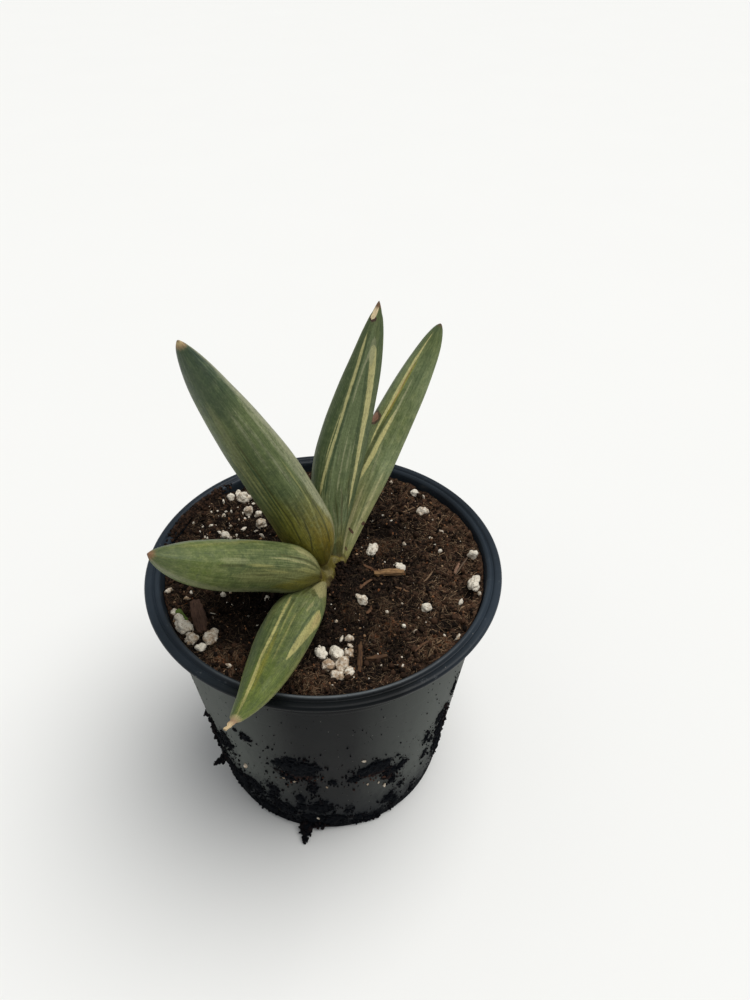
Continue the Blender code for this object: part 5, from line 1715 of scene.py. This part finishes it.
def build_wall_crumbs(settings, finish):
    """Crumbs on and round the smears, and specks all over the wall."""
    rng = np.random.default_rng(SEEDS["wall_crumbs"])
    crumbs = []     # place, size, tone
    weights = np.array([w * h * s for _, _, w, h, s in WALL_SMEARS]) ** 0.8
    for i in rng.choice(len(WALL_SMEARS), settings.crumbs, p=weights / weights.sum()):
        angle, height, half_width, half_height, _ = WALL_SMEARS[i]
        reach = 0.62 if rng.random() < 0.7 else 1.1
        turn = angle + math.degrees(rng.normal(0, reach) * half_width / wall_radius(height))
        z = height + rng.normal(-0.12, reach) * half_height
        if not 0.8 < z < POT_SHOULDER_Z - 2:
            continue
        size = 0.14 + 0.46 * rng.random() ** 3
        dry = 1.1 if is_blot(height, half_width) and z < height - 0.4 * half_height else 0.16
        crumbs.append((wall_point(turn, z, 0.25 * size), size, dry * rng.random() ** 1.6))
    for _ in range(settings.crumbs // 7):
        z = rng.uniform(3, 84)
        size = 0.10 + 0.20 * rng.random() ** 3
        crumbs.append((wall_point(rng.uniform(-180, 180), z, 0.2 * size), size, 0.3 * rng.random()))
    for angle, height, reach in WALL_LUMPS:
        for _ in range(LUMP_CRUMBS):
            size = reach * rng.uniform(0.3, 0.6)
            turn = angle + math.degrees(rng.normal(0, 0.7) * reach / wall_radius(height))
            z = max(0.8, height + rng.normal(0, 0.8) * reach)
            crumbs.append((wall_point(turn, z, rng.random() * 0.5 * reach), size, 0.3 * rng.random()))
    for start, end, thick in WALL_SPURS:
        for share in rng.random(int(SPUR_CRUMBS * thick)) ** 1.2:
            angle, height, out = (a + (b - a) * share for a, b in zip(start, end))
            size = thick * (1 - 0.75 * share) * rng.uniform(0.35, 0.6)
            aside, up = rng.normal(0, 0.35, 2) * thick * (1 - 0.8 * share)
            turn = angle + math.degrees(aside / POT_BASE_RADIUS)
            crumbs.append((wall_point(turn, max(1.4 * size, height + up), out), size, 0.2 * rng.random()))
    centres, sizes, tones = zip(*crumbs)
    points, faces, each = crumb_cloud(rng, centres, sizes, 1, 0.16)
    make_piece("wall_soil_crumbs", points, faces, finish, "soil", tone=np.repeat(tones, each))


def build_wall_grains(finish):
    """A few pale grains caught in the soil on the wall."""
    rng = np.random.default_rng(SEEDS["wall_grains"])
    centres = [wall_point(angle, height, 0.2 * size) for angle, height, size in WALL_GRAINS]
    sizes = np.array([size for _, _, size in WALL_GRAINS])
    points, faces, _ = crumb_cloud(rng, centres, sizes, 2, 0.10)
    make_piece("wall_perlite", points, faces, finish, "perlite", tone=np.full(len(points), 0.8))


def floor_finish(settings):
    paint = Finish("PaleFloor")
    place = paint.millimetres()
    cloud = paint.noise(place, 0.01, 3, 0.5)
    colour = paint.blend(cloud * 0.12, settings.floor, FLOOR_CLOUD)
    return paint.surface(Base_Color=colour, Roughness=0.8, Specular_IOR_Level=0.2)


def build_floor(settings):
    """A wide pale floor with a soft rounded edge far away."""
    points, faces = turned_solid(FLOOR_SECTION, FLOOR_SIDES)
    mesh = bpy.data.meshes.new("floor")
    mesh.from_pydata((points * MM).tolist(), [], faces)
    mesh.materials.append(floor_finish(settings))
    add_object("floor", mesh)


def add_key(settings):
    """A broad, soft light from high on the right."""
    lamp = bpy.data.lights.new("key_light", "SUN")
    lamp.energy = settings.key
    lamp.angle = settings.spread
    lamp.color = KEY_TINT
    item = add_object("key_light", lamp)
    item.rotation_mode = "QUATERNION"
    item.rotation_quaternion = Vector(KEY_WAY).to_track_quat("Z", "Y")


def add_camera():
    """The camera, from its yaw, its pitch below the horizon and its roll."""
    yaw, pitch, roll = (math.radians(a) for a in (CAMERA_YAW, CAMERA_PITCH, CAMERA_ROLL))
    ahead = Vector((math.sin(yaw) * math.cos(pitch), math.cos(yaw) * math.cos(pitch), -math.sin(pitch)))
    level = Vector((math.cos(yaw), -math.sin(yaw), 0))
    above = level.cross(ahead)
    right = math.cos(roll) * level + math.sin(roll) * above
    up = math.cos(roll) * above - math.sin(roll) * level
    data = bpy.data.cameras.new("camera")
    data.lens = CAMERA_LENS
    data.sensor_width = CAMERA_SENSOR
    data.clip_start = 0.01
    camera = add_object("camera", data)
    turn = Matrix((right, up, -ahead)).transposed()
    camera.matrix_world = Matrix.Translation(Vector(CAMERA_PLACE) * MM) @ turn.to_4x4()
    bpy.context.scene.camera = camera


class SNAKEPLANT_OT_stage(Operator):
    """Adds the floor, the lights and the camera"""

    bl_idname = "snake_plant.stage"
    bl_label = "Stage"

    def execute(self, context):
        settings = context.scene.snake_plant_stage
        build_floor(settings)
        add_camera()
        add_key(settings)
        world = bpy.data.worlds.new("studio")
        world.use_nodes = True
        sky = world.node_tree.nodes["Background"]
        sky.inputs["Color"].default_value = SKY_TINT
        sky.inputs["Strength"].default_value = settings.sky
        context.scene.world = world
        context.scene.view_settings.view_transform = "Standard"
        return {"FINISHED"}


class SNAKEPLANT_OT_pot(Operator):
    """Adds the nursery pot with its rolled rim and drainage holes"""

    bl_idname = "snake_plant.pot"
    bl_label = "Nursery pot"

    def execute(self, context):
        build_pot(context.scene.snake_plant_pot)
        return {"FINISHED"}


class SNAKEPLANT_OT_wall_soil(Operator):
    """Adds the soil that is stuck on the outside of the pot"""

    bl_idname = "snake_plant.wall_soil"
    bl_label = "Soil on the wall"

    def execute(self, context):
        settings = context.scene.snake_plant_pot
        finish = stuck_finish(settings)
        build_wall_crust(settings, finish)
        build_wall_crumbs(settings, finish)
        return {"FINISHED"}


class SNAKEPLANT_OT_soil(Operator):
    """Adds the potting soil with its crumbs and fibres"""

    bl_idname = "snake_plant.soil"
    bl_label = "Potting soil"

    def execute(self, context):
        settings = context.scene.snake_plant_soil
        build_soil(settings)
        build_soil_crumbs(settings)
        build_soil_flecks(settings)
        build_soil_fibres(settings)
        return {"FINISHED"}


class SNAKEPLANT_OT_leaves(Operator):
    """Adds the five variegated leaves"""

    bl_idname = "snake_plant.leaves"
    bl_label = "Leaves"

    def execute(self, context):
        for name in LEAVES:
            build_leaf(name, context.scene.snake_plant_leaves)
        return {"FINISHED"}


class SNAKEPLANT_OT_crown(Operator):
    """Adds the crown that the leaves grow from"""

    bl_idname = "snake_plant.crown"
    bl_label = "Crown"

    def execute(self, context):
        build_crown(context.scene.snake_plant_litter)
        return {"FINISHED"}


class SNAKEPLANT_OT_perlite(Operator):
    """Adds the large and small perlite"""

    bl_idname = "snake_plant.perlite"
    bl_label = "Perlite"

    def execute(self, context):
        finish = perlite_finish(context.scene.snake_plant_litter)
        rng = random.Random(SEEDS["perlite"])
        for name in PERLITE_NODES:
            build_perlite(name, finish, rng)
        build_small_perlite(finish)
        build_wall_grains(finish)
        return {"FINISHED"}


class SNAKEPLANT_OT_bark(Operator):
    """Adds the bark chips and sticks"""

    bl_idname = "snake_plant.bark"
    bl_label = "Bark"

    def execute(self, context):
        settings = context.scene.snake_plant_litter
        old = bark_finish("OldBark", settings.bark, OLD_BARK, settings)
        pale = bark_finish("PaleWood", PALE_WOOD, settings.fresh_wood, settings)
        red = bark_finish("RedWood", *RED_WOOD, settings)
        build_bark("bark_chip_left", old)
        build_bark("bark_chip_right", pale)
        build_bark("bark_stick_front", red)
        build_bark("bark_stick_short", red)
        build_slivers()
        return {"FINISHED"}


STEPS = (SNAKEPLANT_OT_stage, SNAKEPLANT_OT_pot, SNAKEPLANT_OT_wall_soil, SNAKEPLANT_OT_soil,
         SNAKEPLANT_OT_leaves, SNAKEPLANT_OT_crown, SNAKEPLANT_OT_perlite, SNAKEPLANT_OT_bark)


class SNAKEPLANT_PT_sidebar(Panel):
    """Lists the steps that dress the plant"""

    bl_label = "Potted Snake Plant"
    bl_space_type = "VIEW_3D"
    bl_region_type = "UI"
    bl_category = "Snake Plant"

    def draw(self, context):
        for step in STEPS:
            self.layout.operator(step.bl_idname)


GROUPS = {
    "snake_plant_pot": PotSettings,
    "snake_plant_soil": SoilSettings,
    "snake_plant_leaves": LeafSettings,
    "snake_plant_litter": LitterSettings,
    "snake_plant_stage": StageSettings,
}


def register():
    for group in (*GROUPS.values(), *STEPS, SNAKEPLANT_PT_sidebar):
        bpy.utils.register_class(group)
    for name, group in GROUPS.items():
        setattr(bpy.types.Scene, name, PointerProperty(type=group))


def unregister():
    for name in GROUPS:
        delattr(bpy.types.Scene, name)
    for group in reversed((*GROUPS.values(), *STEPS, SNAKEPLANT_PT_sidebar)):
        bpy.utils.unregister_class(group)


def main():
    register()
    bpy.ops.snake_plant.stage()
    bpy.ops.snake_plant.pot()
    bpy.ops.snake_plant.wall_soil()
    bpy.ops.snake_plant.soil()
    bpy.ops.snake_plant.leaves()
    bpy.ops.snake_plant.crown()
    bpy.ops.snake_plant.perlite()
    bpy.ops.snake_plant.bark()


if __name__ == "__main__":
    main()
